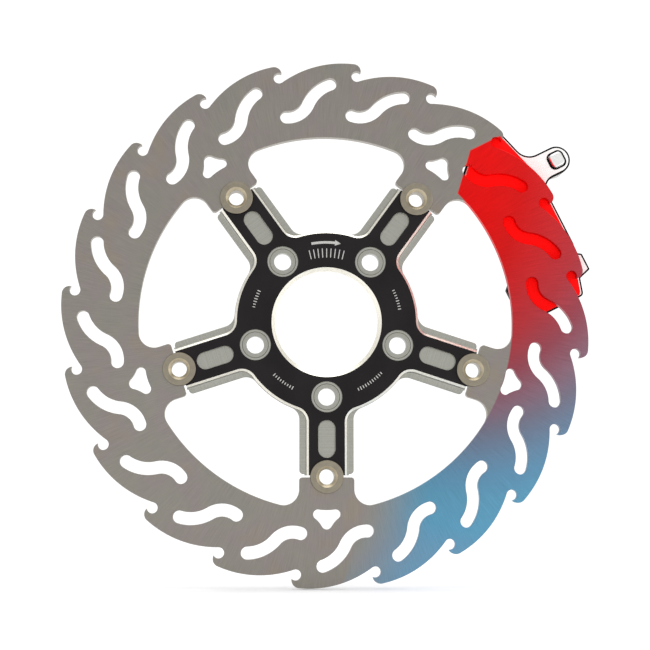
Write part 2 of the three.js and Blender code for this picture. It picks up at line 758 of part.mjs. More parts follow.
part.add(mesh("backing_plate", backingPlateGeometry(), 0xe8e8e6, 0.5, 0));
part.add(mesh("friction_lining", liningGeometry(), 0xd80f0c, 0.8, 0));
part.add(mesh("insulator_shim", shimGeometry(), 0x2b2b2d, 0.6, 0));
part.add(mesh("pad_guide_pin", guidePinGeometry(), 0xd9dadb, 0.25, 1));

export default part;
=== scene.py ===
"""Floating motorcycle brake disc with the pad behind it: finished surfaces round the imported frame.

The frame is in metres with +Z up. The axle runs along Y, and the outboard face looks towards -Y.
Sizes in this file are millimetres until a mesh is written.
"""

import logging
import math
from dataclasses import dataclass, field
from enum import Enum
from typing import Any, Callable, Iterable, Sequence

import bmesh
import bpy
from mathutils import Matrix, Vector


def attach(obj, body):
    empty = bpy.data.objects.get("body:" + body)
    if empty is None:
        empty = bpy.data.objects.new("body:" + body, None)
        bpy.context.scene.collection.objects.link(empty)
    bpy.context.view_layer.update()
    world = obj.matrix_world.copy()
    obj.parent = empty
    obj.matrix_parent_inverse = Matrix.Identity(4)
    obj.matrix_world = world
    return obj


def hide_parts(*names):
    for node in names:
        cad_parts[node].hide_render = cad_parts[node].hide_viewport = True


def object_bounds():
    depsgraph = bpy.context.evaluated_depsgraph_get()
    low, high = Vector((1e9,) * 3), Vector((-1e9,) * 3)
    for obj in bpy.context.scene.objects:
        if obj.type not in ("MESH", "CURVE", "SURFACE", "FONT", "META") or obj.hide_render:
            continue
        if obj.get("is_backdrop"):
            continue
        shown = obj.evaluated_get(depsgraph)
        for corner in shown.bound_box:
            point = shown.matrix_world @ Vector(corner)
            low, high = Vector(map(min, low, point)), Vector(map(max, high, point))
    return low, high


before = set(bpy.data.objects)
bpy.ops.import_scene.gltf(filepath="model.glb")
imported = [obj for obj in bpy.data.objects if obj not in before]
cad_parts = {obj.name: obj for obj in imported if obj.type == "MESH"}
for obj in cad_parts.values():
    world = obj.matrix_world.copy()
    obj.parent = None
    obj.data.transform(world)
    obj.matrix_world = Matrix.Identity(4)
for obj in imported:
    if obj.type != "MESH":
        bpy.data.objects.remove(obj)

MM = 0.001
CHORD = 0.006  # most that a chord strays from its arc, in millimetres
TURN = 2 * math.pi

Point = tuple[float, float]
Loop = list[Point]
log = logging.getLogger("brake_disc")


# ------------------------------------------------------------------------------- plane outlines


def arc(centre: Point, radius: float, start: float, end: float, chord: float = CHORD) -> Loop:
    """Points along an arc.

    Args:
        centre: the arc's centre.
        radius: its radius.
        start: angle of the first point, in radians.
        end: angle of the last point.
        chord: most that a straight step may stray from the arc.

    Returns:
        The points, ends included.
    """
    step = 2 * math.acos(1 - min(chord / radius, 1))
    count = max(2, math.ceil(abs(end - start) / step))
    turns = (start + (end - start) * i / count for i in range(count + 1))
    return [(centre[0] + radius * math.cos(a), centre[1] + radius * math.sin(a)) for a in turns]


def polar(radius: float, angle: float) -> Point:
    """The point at a radius and an angle."""
    return radius * math.cos(angle), radius * math.sin(angle)


def heading(start: Point, end: Point) -> float:
    """Angle of the way from one point to another."""
    return math.atan2(end[1] - start[1], end[0] - start[0])


def at_least(angle: float, low: float) -> float:
    """The same angle, brought to at least a given one by whole turns."""
    return angle + TURN * math.ceil((low - angle) / TURN)


def at_most(angle: float, high: float) -> float:
    """The same angle, brought to at most a given one by whole turns."""
    return angle - TURN * math.ceil((angle - high) / TURN)


def joined(*runs: Loop) -> Loop:
    """One closed outline from several runs, with points closer than two microns dropped."""
    points = [p for run in runs for p in run]
    return [p for p, q in zip(points, points[1:] + points[:1]) if math.dist(p, q) > 0.002]


def spun(points: Iterable[Point], angle: float) -> Loop:
    """Points turned about the disc's centre."""
    c, s = math.cos(angle), math.sin(angle)
    return [(x * c - y * s, x * s + y * c) for x, y in points]


def mirrored(run: Loop) -> Loop:
    """A run followed by its mirror image in the upright centre line."""
    return run + [(-x, y) for x, y in reversed(run)]


def crossing(first: Point, r1: float, second: Point, r2: float) -> Point:
    """Where two circles cross, on the left of the way from the first centre to the second.

    Args:
        first: the first circle's centre.
        r1: its radius.
        second: the second circle's centre.
        r2: its radius.

    Returns:
        The crossing point.
    """
    d = math.dist(first, second)
    along = (r1 * r1 - r2 * r2 + d * d) / (2 * d)
    side = math.sqrt(r1 * r1 - along * along)
    ux, uy = (second[0] - first[0]) / d, (second[1] - first[1]) / d
    return first[0] + along * ux - side * uy, first[1] + along * uy + side * ux


def rounded(corners: Sequence[tuple[float, float, float]]) -> Loop:
    """A polygon with its corners rounded.

    Args:
        corners: x, y and corner radius of each corner in turn. A radius of 0 stays sharp.

    Returns:
        The closed outline.
    """
    runs: list[Loop] = []
    for i, (x, y, radius) in enumerate(corners):
        if not radius:
            runs.append([(x, y)])
            continue
        px, py, _ = corners[i - 1]
        nx, ny, _ = corners[(i + 1) % len(corners)]
        before = Vector((px - x, py - y)).normalized()
        after = Vector((nx - x, ny - y)).normalized()
        half = math.acos(max(-1.0, min(1.0, before.dot(after)))) / 2
        centre = Vector((x, y)) + (before + after).normalized() * radius / math.sin(half)
        start = Vector((x, y)) + before * radius / math.tan(half)
        end = Vector((x, y)) + after * radius / math.tan(half)
        a0 = heading(tuple(centre), tuple(start))
        sweep = heading(tuple(centre), tuple(end)) - a0
        sweep = math.atan2(math.sin(sweep), math.cos(sweep))
        runs.append(arc(tuple(centre), radius, a0, a0 + sweep))
    return joined(*runs)


def area(loop: Loop) -> float:
    """Signed area of an outline, positive when it runs anticlockwise."""
    return sum(p[0] * q[1] - q[0] * p[1] for p, q in zip(loop, loop[1:] + loop[:1])) / 2


def inward(loop: Loop) -> Loop:
    """For each point of an outline, the step that moves its edges one millimetre inwards.

    Args:
        loop: a closed outline, either way round.

    Returns:
        One step for each of its points.
    """
    sign = 1 if area(loop) > 0 else -1
    steps: Loop = []
    for i, here in enumerate(loop):
        a = Vector(here) - Vector(loop[i - 1])
        b = Vector(loop[(i + 1) % len(loop)]) - Vector(here)
        na = Vector((-a.y, a.x)).normalized() * sign
        nb = Vector((-b.y, b.x)).normalized() * sign
        middle = (na + nb).normalized()
        steps.append(tuple(middle / max(middle.dot(na), 0.5)))
    return steps


# ------------------------------------------------------------------------------- meshes


class Shell:
    """Points and faces of one mesh while it is put together, in millimetres."""

    def __init__(self) -> None:
        """Starts an empty shell."""
        self.points: list[tuple[float, float, float]] = []
        self.faces: list[tuple[int, ...]] = []
        self.slots: list[int] = []

    def band(self, rings: Sequence[Sequence[tuple[float, float, float]]], closed: bool,
             slots: Sequence[int]) -> None:
        """Joins neighbouring rings of equal length with quads.

        Args:
            rings: the rings in order, each a row of points.
            closed: whether each ring's last point joins its first.
            slots: material slot of the quads between each ring and the next.
        """
        start, count = len(self.points), len(rings[0])
        for ring in rings:
            self.points.extend(ring)
        for k, slot in enumerate(slots):
            low, high = start + k * count, start + ((k + 1) % len(rings)) * count
            for i in range(count if closed else count - 1):
                j = (i + 1) % count
                self.faces.append((low + i, low + j, high + j, high + i))
                self.slots.append(slot)

    def walls(self, loop: Loop, levels: Sequence[Point], slots: Sequence[int],
              hole: bool = False, steps: Loop | None = None,
              spread: Sequence[float] | None = None) -> None:
        """Stands walls along an outline that is drawn across the axle.

        Args:
            loop: the outline.
            levels: for each ring of points its station along the axle and how far it is set in.
            slots: material slot of each band between two levels.
            hole: whether the material lies outside the outline.
            steps: inward steps of an open run, where the outline isn't closed.
            spread: share of an outward step that each point takes.
        """
        moves = steps if steps is not None else inward(loop)
        sign = -1 if hole else 1
        shares = spread or [1.0] * len(loop)
        rings = []
        for y, inset in levels:
            reach = [sign * inset * (share if inset < 0 else 1.0) for share in shares]
            rings.append([(x + r * mx, y, z + r * mz) for (x, z), (mx, mz), r in zip(loop, moves, reach)])
        self.band(rings, steps is None, slots)

    def thing(self, name: str, materials: Sequence[bpy.types.Material]) -> bpy.types.Object:
        """Writes the shell to a mesh object.

        Args:
            name: the object's name.
            materials: the materials of its slots.

        Returns:
            The linked object, at the origin.
        """
        mesh = bpy.data.meshes.new(name)
        mesh.from_pydata([tuple(c * MM for c in p) for p in self.points], [], self.faces)
        for material in materials:
            mesh.materials.append(material)
        mesh.polygons.foreach_set("material_index", self.slots)
        made = bpy.data.objects.new(name, mesh)
        bpy.context.scene.collection.objects.link(made)
        return made


def settled(thing: bpy.types.Object) -> bpy.types.Object:
    """Turns an object into the plain mesh that its modifiers make of it, and drops them.

    Args:
        thing: the object, which is changed.

    Returns:
        The same object.
    """
    graph = bpy.context.evaluated_depsgraph_get()
    mesh = bpy.data.meshes.new_from_object(
        thing.evaluated_get(graph), preserve_all_data_layers=True, depsgraph=graph
    )
    thing.modifiers.clear()
    thing.data = mesh
    return thing


def merged(name: str, things: Sequence[bpy.types.Object],
           materials: Sequence[bpy.types.Material]) -> bpy.types.Object:
    """Joins several meshes in one object, by material name.

    Args:
        name: the new object's name.
        things: the objects, which are used up.
        materials: the materials of the new object's slots.

    Returns:
        The joined object.
    """
    mesh = bpy.data.meshes.new(name)
    for material in materials:
        mesh.materials.append(material)
    index = {material.name: i for i, material in enumerate(materials)}
    whole = bmesh.new()
    for thing in things:
        slots = [index[m.name] if m else 0 for m in thing.data.materials]
        before = len(whole.faces)
        whole.from_mesh(thing.data)
        whole.faces.ensure_lookup_table()
        for face in whole.faces[before:]:
            face.material_index = slots[face.material_index]
        bpy.data.objects.remove(thing)
    whole.to_mesh(mesh)
    whole.free()
    made = bpy.data.objects.new(name, mesh)
    bpy.context.scene.collection.objects.link(made)
    return made


class Join(Enum):
    """How two solids are combined."""

    UNION = "UNION"
    CUT = "DIFFERENCE"


def combined(body: bpy.types.Object, tool: bpy.types.Object, how: Join) -> bpy.types.Object:
    """Joins a solid to another or cuts it, each face keeping its own material.

    Args:
        body: the solid that is changed.
        tool: the other solid, which is used up.
        how: whether to join or to cut.

    Returns:
        The changed body.
    """
    closed_up(body)
    closed_up(tool)
    change = body.modifiers.new("combine", "BOOLEAN")
    change.operation = how.value
    change.solver = "EXACT"
    change.material_mode = "TRANSFER"
    change.object = tool
    settled(body)
    bpy.data.objects.remove(tool)
    return body


def closed_up(thing: bpy.types.Object) -> bpy.types.Object:
    """Merges doubled points and turns every face outwards.

    Args:
        thing: the object, whose mesh is changed.

    Returns:
        The same object.
    """
    shape = bmesh.new()
    shape.from_mesh(thing.data)
    bmesh.ops.remove_doubles(shape, verts=shape.verts, dist=0.0008 * MM)
    bmesh.ops.recalc_face_normals(shape, faces=shape.faces)
    shape.to_mesh(thing.data)
    shape.free()
    return thing


def finished(thing: bpy.types.Object, body: str, slot: str, *nodes: str) -> bpy.types.Object:
    """Smooths a piece between its sharp edges and hangs it on its body.

    Args:
        thing: the piece, in place.
        body: the body that it moves with.
        slot: name of the record's material slot for its finish; not used.
        *nodes: the nodes that it stands for.

    Returns:
        The piece.
    """
    closed_up(thing)
    thing.data.shade_smooth()
    thing.data.set_sharp_from_angle(angle=math.radians(22))
    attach(thing, body)
    if nodes:
        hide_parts(*nodes)
    log.info("%s: %d faces on %s", thing.name, len(thing.data.polygons), body)
    return thing


def turning(name: str, section: Sequence[tuple[float, float, int]], segments: int,
            materials: Sequence[bpy.types.Material], centre: Point = (0.0, 0.0),
            lift: Callable[[float], float] | None = None) -> bpy.types.Object:
    """Turns a closed section about a line along Y.

    Args:
        name: the object's name.
        section: radius, station and material slot of each point, closing on itself.
        segments: steps round the circle.
        materials: the materials of the slots.
        centre: where the line stands across the axle.
        lift: shift along the line at each angle, for a ring that isn't flat.

    Returns:
        The object, whose points carry their radius in millimetres as the attribute "turned".
    """
    shell = Shell()
    rings = []
    for radius, y, _ in section:
        ring = []
        for i in range(segments):
            a = TURN * i / segments
            rise = lift(a) if lift else 0.0
            ring.append((centre[0] + radius * math.cos(a), y + rise, centre[1] + radius * math.sin(a)))
        rings.append(ring)
    shell.band(rings, True, [slot for _, _, slot in section])
    made = shell.thing(name, materials)
    radii = made.data.attributes.new("turned", "FLOAT", "POINT")
    radii.data.foreach_set("value", [r for r, _, _ in section for _ in range(segments)])
    return made


# ------------------------------------------------------------------------------- node trees


def add_node(tree: bpy.types.NodeTree, kind: str, inputs: dict[int | str, Any] | None = None,
             **settings: Any) -> bpy.types.Node:
    """Adds a node with its settings and links.

    Args:
        tree: the tree that it goes in.
        kind: the node's type.
        inputs: what each input holds, by index or name: a value, or the socket linked to it.
        **settings: the node's own properties.

    Returns:
        The node.
    """
    node = tree.nodes.new(kind)
    for name, value in settings.items():
        setattr(node, name, value)
    for key, value in (inputs or {}).items():
        if isinstance(value, bpy.types.NodeSocket):
            tree.links.new(value, node.inputs[key])
        else:
            node.inputs[key].default_value = value
    return node


def new_tree(name: str, sockets: Sequence[tuple[str, str]]) -> tuple[Any, Any]:
    """Starts a geometry tree.

    Args:
        name: the tree's name.
        sockets: name and socket type of each input after the geometry.

    Returns:
        The tree and its input node.
    """
    tree = bpy.data.node_groups.new(name, "GeometryNodeTree")
    tree.interface.new_socket("Geometry", in_out="INPUT", socket_type="NodeSocketGeometry")
    for label, kind in sockets:
        tree.interface.new_socket(label, in_out="INPUT", socket_type=kind)
    tree.interface.new_socket("Geometry", in_out="OUTPUT", socket_type="NodeSocketGeometry")
    return tree, tree.nodes.new("NodeGroupInput")


def run_tree(thing: bpy.types.Object, tree: bpy.types.NodeTree, **values: Any) -> bpy.types.Object:
    """Runs a geometry tree on an object and keeps the plain mesh.

    Args:
        thing: the object that the tree changes.
        tree: the geometry tree.
        **values: what each named input holds, with _ for a space.

    Returns:
        The object with its new mesh.
    """
    modifier = thing.modifiers.new(tree.name, "NODES")
    modifier.node_group = tree
    sockets = {s.name: s.identifier for s in tree.interface.items_tree if s.in_out == "INPUT"}
    for label, value in values.items():
        modifier[sockets[label.replace("_", " ")]] = value
    return settled(thing)


def repeat_tree() -> bpy.types.NodeTree:
    """A tree that sets copies of its geometry at equal steps round the axle."""
    tree, given = new_tree("round the axle", [("Count", "NodeSocketInt"),
                                              ("Material", "NodeSocketMaterial")])
    points = add_node(tree, "GeometryNodePoints", {"Count": given.outputs["Count"]})
    index = add_node(tree, "GeometryNodeInputIndex")
    step = add_node(tree, "ShaderNodeMath", {0: TURN, 1: given.outputs["Count"]}, operation="DIVIDE")
    angle = add_node(tree, "ShaderNodeMath", {0: index.outputs[0], 1: step.outputs[0]},
                     operation="MULTIPLY")
    euler = add_node(tree, "ShaderNodeCombineXYZ", {"Y": angle.outputs[0]})
    turn = add_node(tree, "FunctionNodeEulerToRotation", {0: euler.outputs[0]})
    copies = add_node(tree, "GeometryNodeInstanceOnPoints", {
        "Points": points.outputs[0],
        "Instance": given.outputs["Geometry"],
        "Rotation": turn.outputs[0],
    })
    real = add_node(tree, "GeometryNodeRealizeInstances", {0: copies.outputs[0]})
    dressed = add_node(tree, "GeometryNodeSetMaterial",
                       {"Geometry": real.outputs[0], "Material": given.outputs["Material"]})
    add_node(tree, "NodeGroupOutput", {0: dressed.outputs[0]})
    return tree


def cap_tree() -> bpy.types.NodeTree:
    """A tree that fills the open front and back of standing walls with flat faces."""
    tree, given = new_tree("flat faces", [("Front", "NodeSocketFloat"), ("Back", "NodeSocketFloat"),
                                          ("Face Material", "NodeSocketMaterial"),
                                          ("Edge Material", "NodeSocketMaterial")])
    welded = add_node(tree, "GeometryNodeMergeByDistance",
                      {"Geometry": given.outputs["Geometry"], "Distance": 0.0005 * MM})
    open_edge = add_node(tree, "FunctionNodeCompare", {
        2: add_node(tree, "GeometryNodeInputMeshEdgeNeighbors").outputs[0],
        3: 1,
    }, data_type="INT", operation="EQUAL")
    place = add_node(tree, "ShaderNodeSeparateXYZ",
                     {0: add_node(tree, "GeometryNodeInputPosition").outputs[0]})
    faces = []
    for level in ("Front", "Back"):
        gap = add_node(tree, "ShaderNodeMath",
                       {0: place.outputs["Y"], 1: given.outputs[level], 2: 0.001 * MM},
                       operation="COMPARE")
        chosen = add_node(tree, "FunctionNodeBooleanMath",
                          {0: open_edge.outputs[0], 1: gap.outputs[0]}, operation="AND")
        rim = add_node(tree, "GeometryNodeMeshToCurve",
                       {"Mesh": welded.outputs[0], "Selection": chosen.outputs[0]})
        laid = add_node(tree, "GeometryNodeTransform",
                        {"Geometry": rim.outputs[0], "Rotation": (math.pi / 2, 0, 0)})
        filled = add_node(tree, "GeometryNodeFillCurve", {"Curve": laid.outputs[0]})
        shift = add_node(tree, "ShaderNodeCombineXYZ", {"Y": given.outputs[level]})
        stood = add_node(tree, "GeometryNodeTransform", {
            "Geometry": filled.outputs[0],
            "Translation": shift.outputs[0],
            "Rotation": (-math.pi / 2, 0, 0),
        })
        faces.append(stood.outputs[0])
    caps = add_node(tree, "GeometryNodeJoinGeometry")
    for face in faces:
        tree.links.new(face, caps.inputs[0])
    dressed = add_node(tree, "GeometryNodeSetMaterial",
                       {"Geometry": caps.outputs[0], "Material": given.outputs["Face Material"]})
    edges = add_node(tree, "GeometryNodeSetMaterial",
                     {"Geometry": welded.outputs[0], "Material": given.outputs["Edge Material"]})
    whole = add_node(tree, "GeometryNodeJoinGeometry")
    tree.links.new(edges.outputs[0], whole.inputs[0])
    tree.links.new(dressed.outputs[0], whole.inputs[0])
    real = add_node(tree, "GeometryNodeRealizeInstances", {0: whole.outputs[0]})
    sealed = add_node(tree, "GeometryNodeMergeByDistance",
                      {"Geometry": real.outputs[0], "Distance": 0.0005 * MM})
    add_node(tree, "NodeGroupOutput", {0: sealed.outputs[0]})
    return tree


def row_tree() -> bpy.types.NodeTree:
    """A tree that sets strokes side by side on an arc round the axle, each of its own length."""
    tree, given = new_tree("strokes on an arc", [
        ("Count", "NodeSocketInt"), ("Radius", "NodeSocketFloat"), ("Middle", "NodeSocketFloat"),
        ("Step", "NodeSocketFloat"), ("Shortest", "NodeSocketFloat"), ("Seed", "NodeSocketInt"),
        ("Material", "NodeSocketMaterial"),
    ])
    index = add_node(tree, "GeometryNodeInputIndex")
    half = add_node(tree, "ShaderNodeMath", {0: given.outputs["Count"], 1: -0.5, 2: 0.5},
                    operation="MULTIPLY_ADD")
    rank = add_node(tree, "ShaderNodeMath", {0: index.outputs[0], 1: half.outputs[0]}, operation="ADD")
    angle = add_node(tree, "ShaderNodeMath",
                     {0: rank.outputs[0], 1: given.outputs["Step"], 2: given.outputs["Middle"]},
                     operation="MULTIPLY_ADD")
    across = add_node(tree, "ShaderNodeMath", {0: angle.outputs[0]}, operation="COSINE")
    up = add_node(tree, "ShaderNodeMath", {0: angle.outputs[0]}, operation="SINE")
    way = add_node(tree, "ShaderNodeCombineXYZ", {"X": across.outputs[0], "Z": up.outputs[0]})
    place = add_node(tree, "ShaderNodeVectorMath", {0: way.outputs[0], "Scale": given.outputs["Radius"]},
                     operation="SCALE")
    points = add_node(tree, "GeometryNodePoints",
                      {"Count": given.outputs["Count"], "Position": place.outputs[0]})
    back = add_node(tree, "ShaderNodeMath", {0: math.pi / 2, 1: angle.outputs[0]}, operation="SUBTRACT")
    euler = add_node(tree, "ShaderNodeCombineXYZ", {"Y": back.outputs[0]})
    turn = add_node(tree, "FunctionNodeEulerToRotation", {0: euler.outputs[0]})
    length = add_node(tree, "FunctionNodeRandomValue",
                      {2: given.outputs["Shortest"], 3: 1.0, "Seed": given.outputs["Seed"]})
    stretch = add_node(tree, "ShaderNodeCombineXYZ", {"X": 1.0, "Y": 1.0, "Z": length.outputs[1]})
    copies = add_node(tree, "GeometryNodeInstanceOnPoints", {
        "Points": points.outputs[0],
        "Instance": given.outputs["Geometry"],
        "Rotation": turn.outputs[0],
        "Scale": stretch.outputs[0],
    })
    real = add_node(tree, "GeometryNodeRealizeInstances", {0: copies.outputs[0]})
    dressed = add_node(tree, "GeometryNodeSetMaterial",
                       {"Geometry": real.outputs[0], "Material": given.outputs["Material"]})
    add_node(tree, "NodeGroupOutput", {0: dressed.outputs[0]})
    return tree


@dataclass
class Toolbox:
    """The geometry trees that the pieces share."""

    repeat: bpy.types.NodeTree = field(default_factory=repeat_tree)
    cap: bpy.types.NodeTree = field(default_factory=cap_tree)
    row: bpy.types.NodeTree = field(default_factory=row_tree)

    def plate(self, name: str, outer: Loop, holes: Sequence[Loop], levels: Sequence[Point],
              face: bpy.types.Material, edge: bpy.types.Material,
              spread: Sequence[float] | None = None) -> bpy.types.Object:
        """Makes a flat plate across the axle.

        Args:
            name: the object's name.
            outer: the outline.
            holes: outlines of the holes.
            levels: stations along the axle and how far the edge is set in at each.
            face: material of the two flat faces.
            edge: material of everything between them.
            spread: share of an outward step that each point of the outline takes.

        Returns:
            The plate.
        """
        shell = Shell()
        slots = [0] * (len(levels) - 1)
        shell.walls(outer, levels, slots, spread=spread)
        for hole in holes:
            shell.walls(hole, levels, slots, hole=True)
        made = shell.thing(name, [edge])
        return run_tree(made, self.cap, Front=levels[0][0] * MM, Back=levels[-1][0] * MM,
                        Face_Material=face, Edge_Material=edge)


# ------------------------------------------------------------------------------- finishes


def linear(code: str) -> tuple[float, float, float, float]:
    """Turns an sRGB hex colour into the linear one that shaders take."""
    parts = [int(code[i:i + 2], 16) / 255 for i in (0, 2, 4)]
    bent = [c / 12.92 if c <= 0.04045 else ((c + 0.055) / 1.055) ** 2.4 for c in parts]
    return bent[0], bent[1], bent[2], 1.0


def new_material(name: str) -> tuple[bpy.types.Material, Any, Any]:
    """Starts a material.

    Args:
        name: the material's name.

    Returns:
        The material, its tree and its Principled shader.
    """
    material = bpy.data.materials.new(name)
    material.use_nodes = True
    tree = material.node_tree
    return material, tree, tree.nodes["Principled BSDF"]


def ramp(tree: Any, factor: Any, stops: Sequence[tuple[float, str]]) -> Any:
    """Adds a colour ramp.

    Args:
        tree: the tree that it goes in.
        factor: the socket that drives it.
        stops: place and sRGB hex colour of each stop.

    Returns:
        The ramp's colour socket.
    """
    node = add_node(tree, "ShaderNodeValToRGB", {0: factor})
    elements = node.color_ramp.elements
    elements[0].position, elements[0].color = stops[0][0], linear(stops[0][1])
    elements[1].position, elements[1].color = stops[-1][0], linear(stops[-1][1])
    for place, code in stops[1:-1]:
        elements.new(place).color = linear(code)
    return node.outputs["Color"]


@dataclass(frozen=True)
class DiscPlace:
    """Sockets that tell a shader where a point of the disc lies."""

    x: Any
    z: Any
    radius: Any
    angle: Any
    whole: Any

    @classmethod
    def of(cls, tree: Any) -> "DiscPlace":
        """Adds the nodes that read Object coordinates as radius and angle about the axle.

        Args:
            tree: the material's tree.

        Returns:
            The sockets, lengths in millimetres and the angle in radians.
        """
        told = add_node(tree, "ShaderNodeTexCoord")
        scaled = add_node(tree, "ShaderNodeVectorMath", {0: told.outputs["Object"], "Scale": 1 / MM},
                          operation="SCALE")
        parts = add_node(tree, "ShaderNodeSeparateXYZ", {0: scaled.outputs[0]})
        flat = add_node(tree, "ShaderNodeVectorMath", {0: scaled.outputs[0], 1: (1.0, 0.0, 1.0)},
                        operation="MULTIPLY")
        radius = add_node(tree, "ShaderNodeVectorMath", {0: flat.outputs[0]}, operation="LENGTH")
        angle = add_node(tree, "ShaderNodeMath", {0: parts.outputs["Z"], 1: parts.outputs["X"]},
                         operation="ARCTAN2")
        return cls(parts.outputs["X"], parts.outputs["Z"], radius.outputs["Value"],
                   angle.outputs[0], scaled.outputs[0])


@dataclass(frozen=True)
class HeatTint:
    """Colours over part of the swept band, as if left by heat, which start at the pad's upper end."""

    swept_inner: float = 102.9
    pad_turn_deg: float = 63.5  # turns the pad's middle upright
    pad_end: float = -50.8  # straight end of the pad, along it
    shoulder: float = 134.0  # radial height of the pad's shoulder at its end
    shoulder_slope: float = 0.27
    shoulder_end: float = -42.0  # from here on the tint reaches the tips of the teeth
    foot: float = 115.3  # where the end's lower corner is cut away
    foot_slope: float = -0.937
    blur: float = 0.35  # half width of the band's edges
    middle: float = 124.0  # radius that the colours below were matched at
    lead: float = 0.0085  # radians that the colours run ahead for each millimetre outwards
    last_lean: float = 0.006  # the same for the end of the tint, the other way
    fade_deg: tuple[float, float] = (-62.0, -87.0)
    reach: float = 20.0
    brighter: float = 0.07  # how much brighter the film is that far outwards, and duller inwards
    stops: tuple[tuple[float, str], ...] = (
        (42.0, "e11a19"), (30.0, "d01f1f"), (18.0, "c32e31"), (6.0, "af3a40"), (-6.0, "914b56"),
        (-18.0, "836876"), (-24.0, "747080"), (-30.0, "6c7a8f"), (-42.0, "5f8aa6"),
        (-51.0, "5b91ac"), (-62.0, "5b93b0"), (-74.0, "678fa9"),
    )

    def band(self, tree: Any, place: DiscPlace) -> Any:
        """Adds the mask of the tinted band.

        Args:
            tree: the material's tree.
            place: where a point lies.

        Returns:
            A socket that is 1 on the tinted band and 0 elsewhere.
        """
        turn = math.radians(self.pad_turn_deg)
        upright = add_node(tree, "ShaderNodeMapping",
                           {"Vector": place.whole, "Rotation": (0.0, -turn, 0.0)})
        parts = add_node(tree, "ShaderNodeSeparateXYZ", {0: upright.outputs[0]})
        along, rise = parts.outputs["X"], parts.outputs["Z"]
        top = add_node(tree, "ShaderNodeMath",
                       {0: along, 1: self.shoulder_slope,
                        2: self.shoulder - self.pad_end * self.shoulder_slope},
                       operation="MULTIPLY_ADD")
        low = add_node(tree, "ShaderNodeMath",
                       {0: along, 1: self.foot_slope, 2: self.foot - self.pad_end * self.foot_slope},
                       operation="MULTIPLY_ADD")
        below = add_node(tree, "ShaderNodeMath", {0: top.outputs[0], 1: rise}, operation="SUBTRACT")
        above = add_node(tree, "ShaderNodeMath", {0: rise, 1: low.outputs[0]}, operation="SUBTRACT")
        past = add_node(tree, "ShaderNodeMath", {0: along, 1: self.pad_end}, operation="SUBTRACT")
        beyond = add_node(tree, "ShaderNodeMath", {0: along, 1: self.shoulder_end},
                          operation="SUBTRACT")
        depth = add_node(tree, "ShaderNodeMath", {0: place.radius, 1: self.swept_inner},
                         operation="SUBTRACT")
        capped = add_node(tree, "ShaderNodeMath", {0: below.outputs[0], 1: beyond.outputs[0]},
                          operation="MAXIMUM")
        sides = [above.outputs[0], past.outputs[0], depth.outputs[0]]
        least = capped.outputs[0]
        for side in sides:
            least = add_node(tree, "ShaderNodeMath", {0: least, 1: side}, operation="MINIMUM").outputs[0]
        return add_node(tree, "ShaderNodeMapRange",
                        {"Value": least, "From Min": -self.blur, "From Max": self.blur}).outputs[0]

    def over(self, tree: Any, place: DiscPlace, steel: Any) -> Any:
        """Lays the tint over the colour of the bare steel.

        Args:
            tree: the material's tree.
            place: where a point lies.
            steel: the steel's colour socket.

        Returns:
            The tinted colour.
        """
        outwards = add_node(tree, "ShaderNodeMath", {0: place.radius, 1: self.middle},
                            operation="SUBTRACT").outputs[0]
        ahead = add_node(tree, "ShaderNodeMath", {0: outwards, 1: -self.lead, 2: place.angle},
                         operation="MULTIPLY_ADD")
        first, last = self.stops[0][0], self.stops[-1][0]
        share = add_node(tree, "ShaderNodeMapRange", {
            "Value": ahead.outputs[0], "From Min": math.radians(first), "From Max": math.radians(last),
        })
        hue = ramp(tree, share.outputs[0],
                   [((deg - first) / (last - first), code) for deg, code in self.stops])
        film = add_node(tree, "ShaderNodeMapRange", {
            "Value": outwards, "From Min": -self.reach, "From Max": self.reach,
            "To Min": 1 - self.brighter, "To Max": 1 + self.brighter,
        })
        colour = add_node(tree, "ShaderNodeVectorMath", {0: hue, "Scale": film.outputs[0]},
                          operation="SCALE").outputs[0]
        leaning = add_node(tree, "ShaderNodeMath", {0: outwards, 1: self.last_lean, 2: place.angle},
                           operation="MULTIPLY_ADD")
        leaving = add_node(tree, "ShaderNodeMapRange", {
            "Value": leaning.outputs[0],
            "From Min": math.radians(self.fade_deg[1]),
            "From Max": math.radians(self.fade_deg[0]),
        }, interpolation_type="SMOOTHSTEP")
        strength = add_node(tree, "ShaderNodeMath",
                            {0: self.band(tree, place), 1: leaving.outputs[0]}, operation="MULTIPLY")
        return add_node(tree, "ShaderNodeMix", {0: strength.outputs[0], 6: steel, 7: colour},
                        data_type="RGBA", blend_type="MIX").outputs[2]


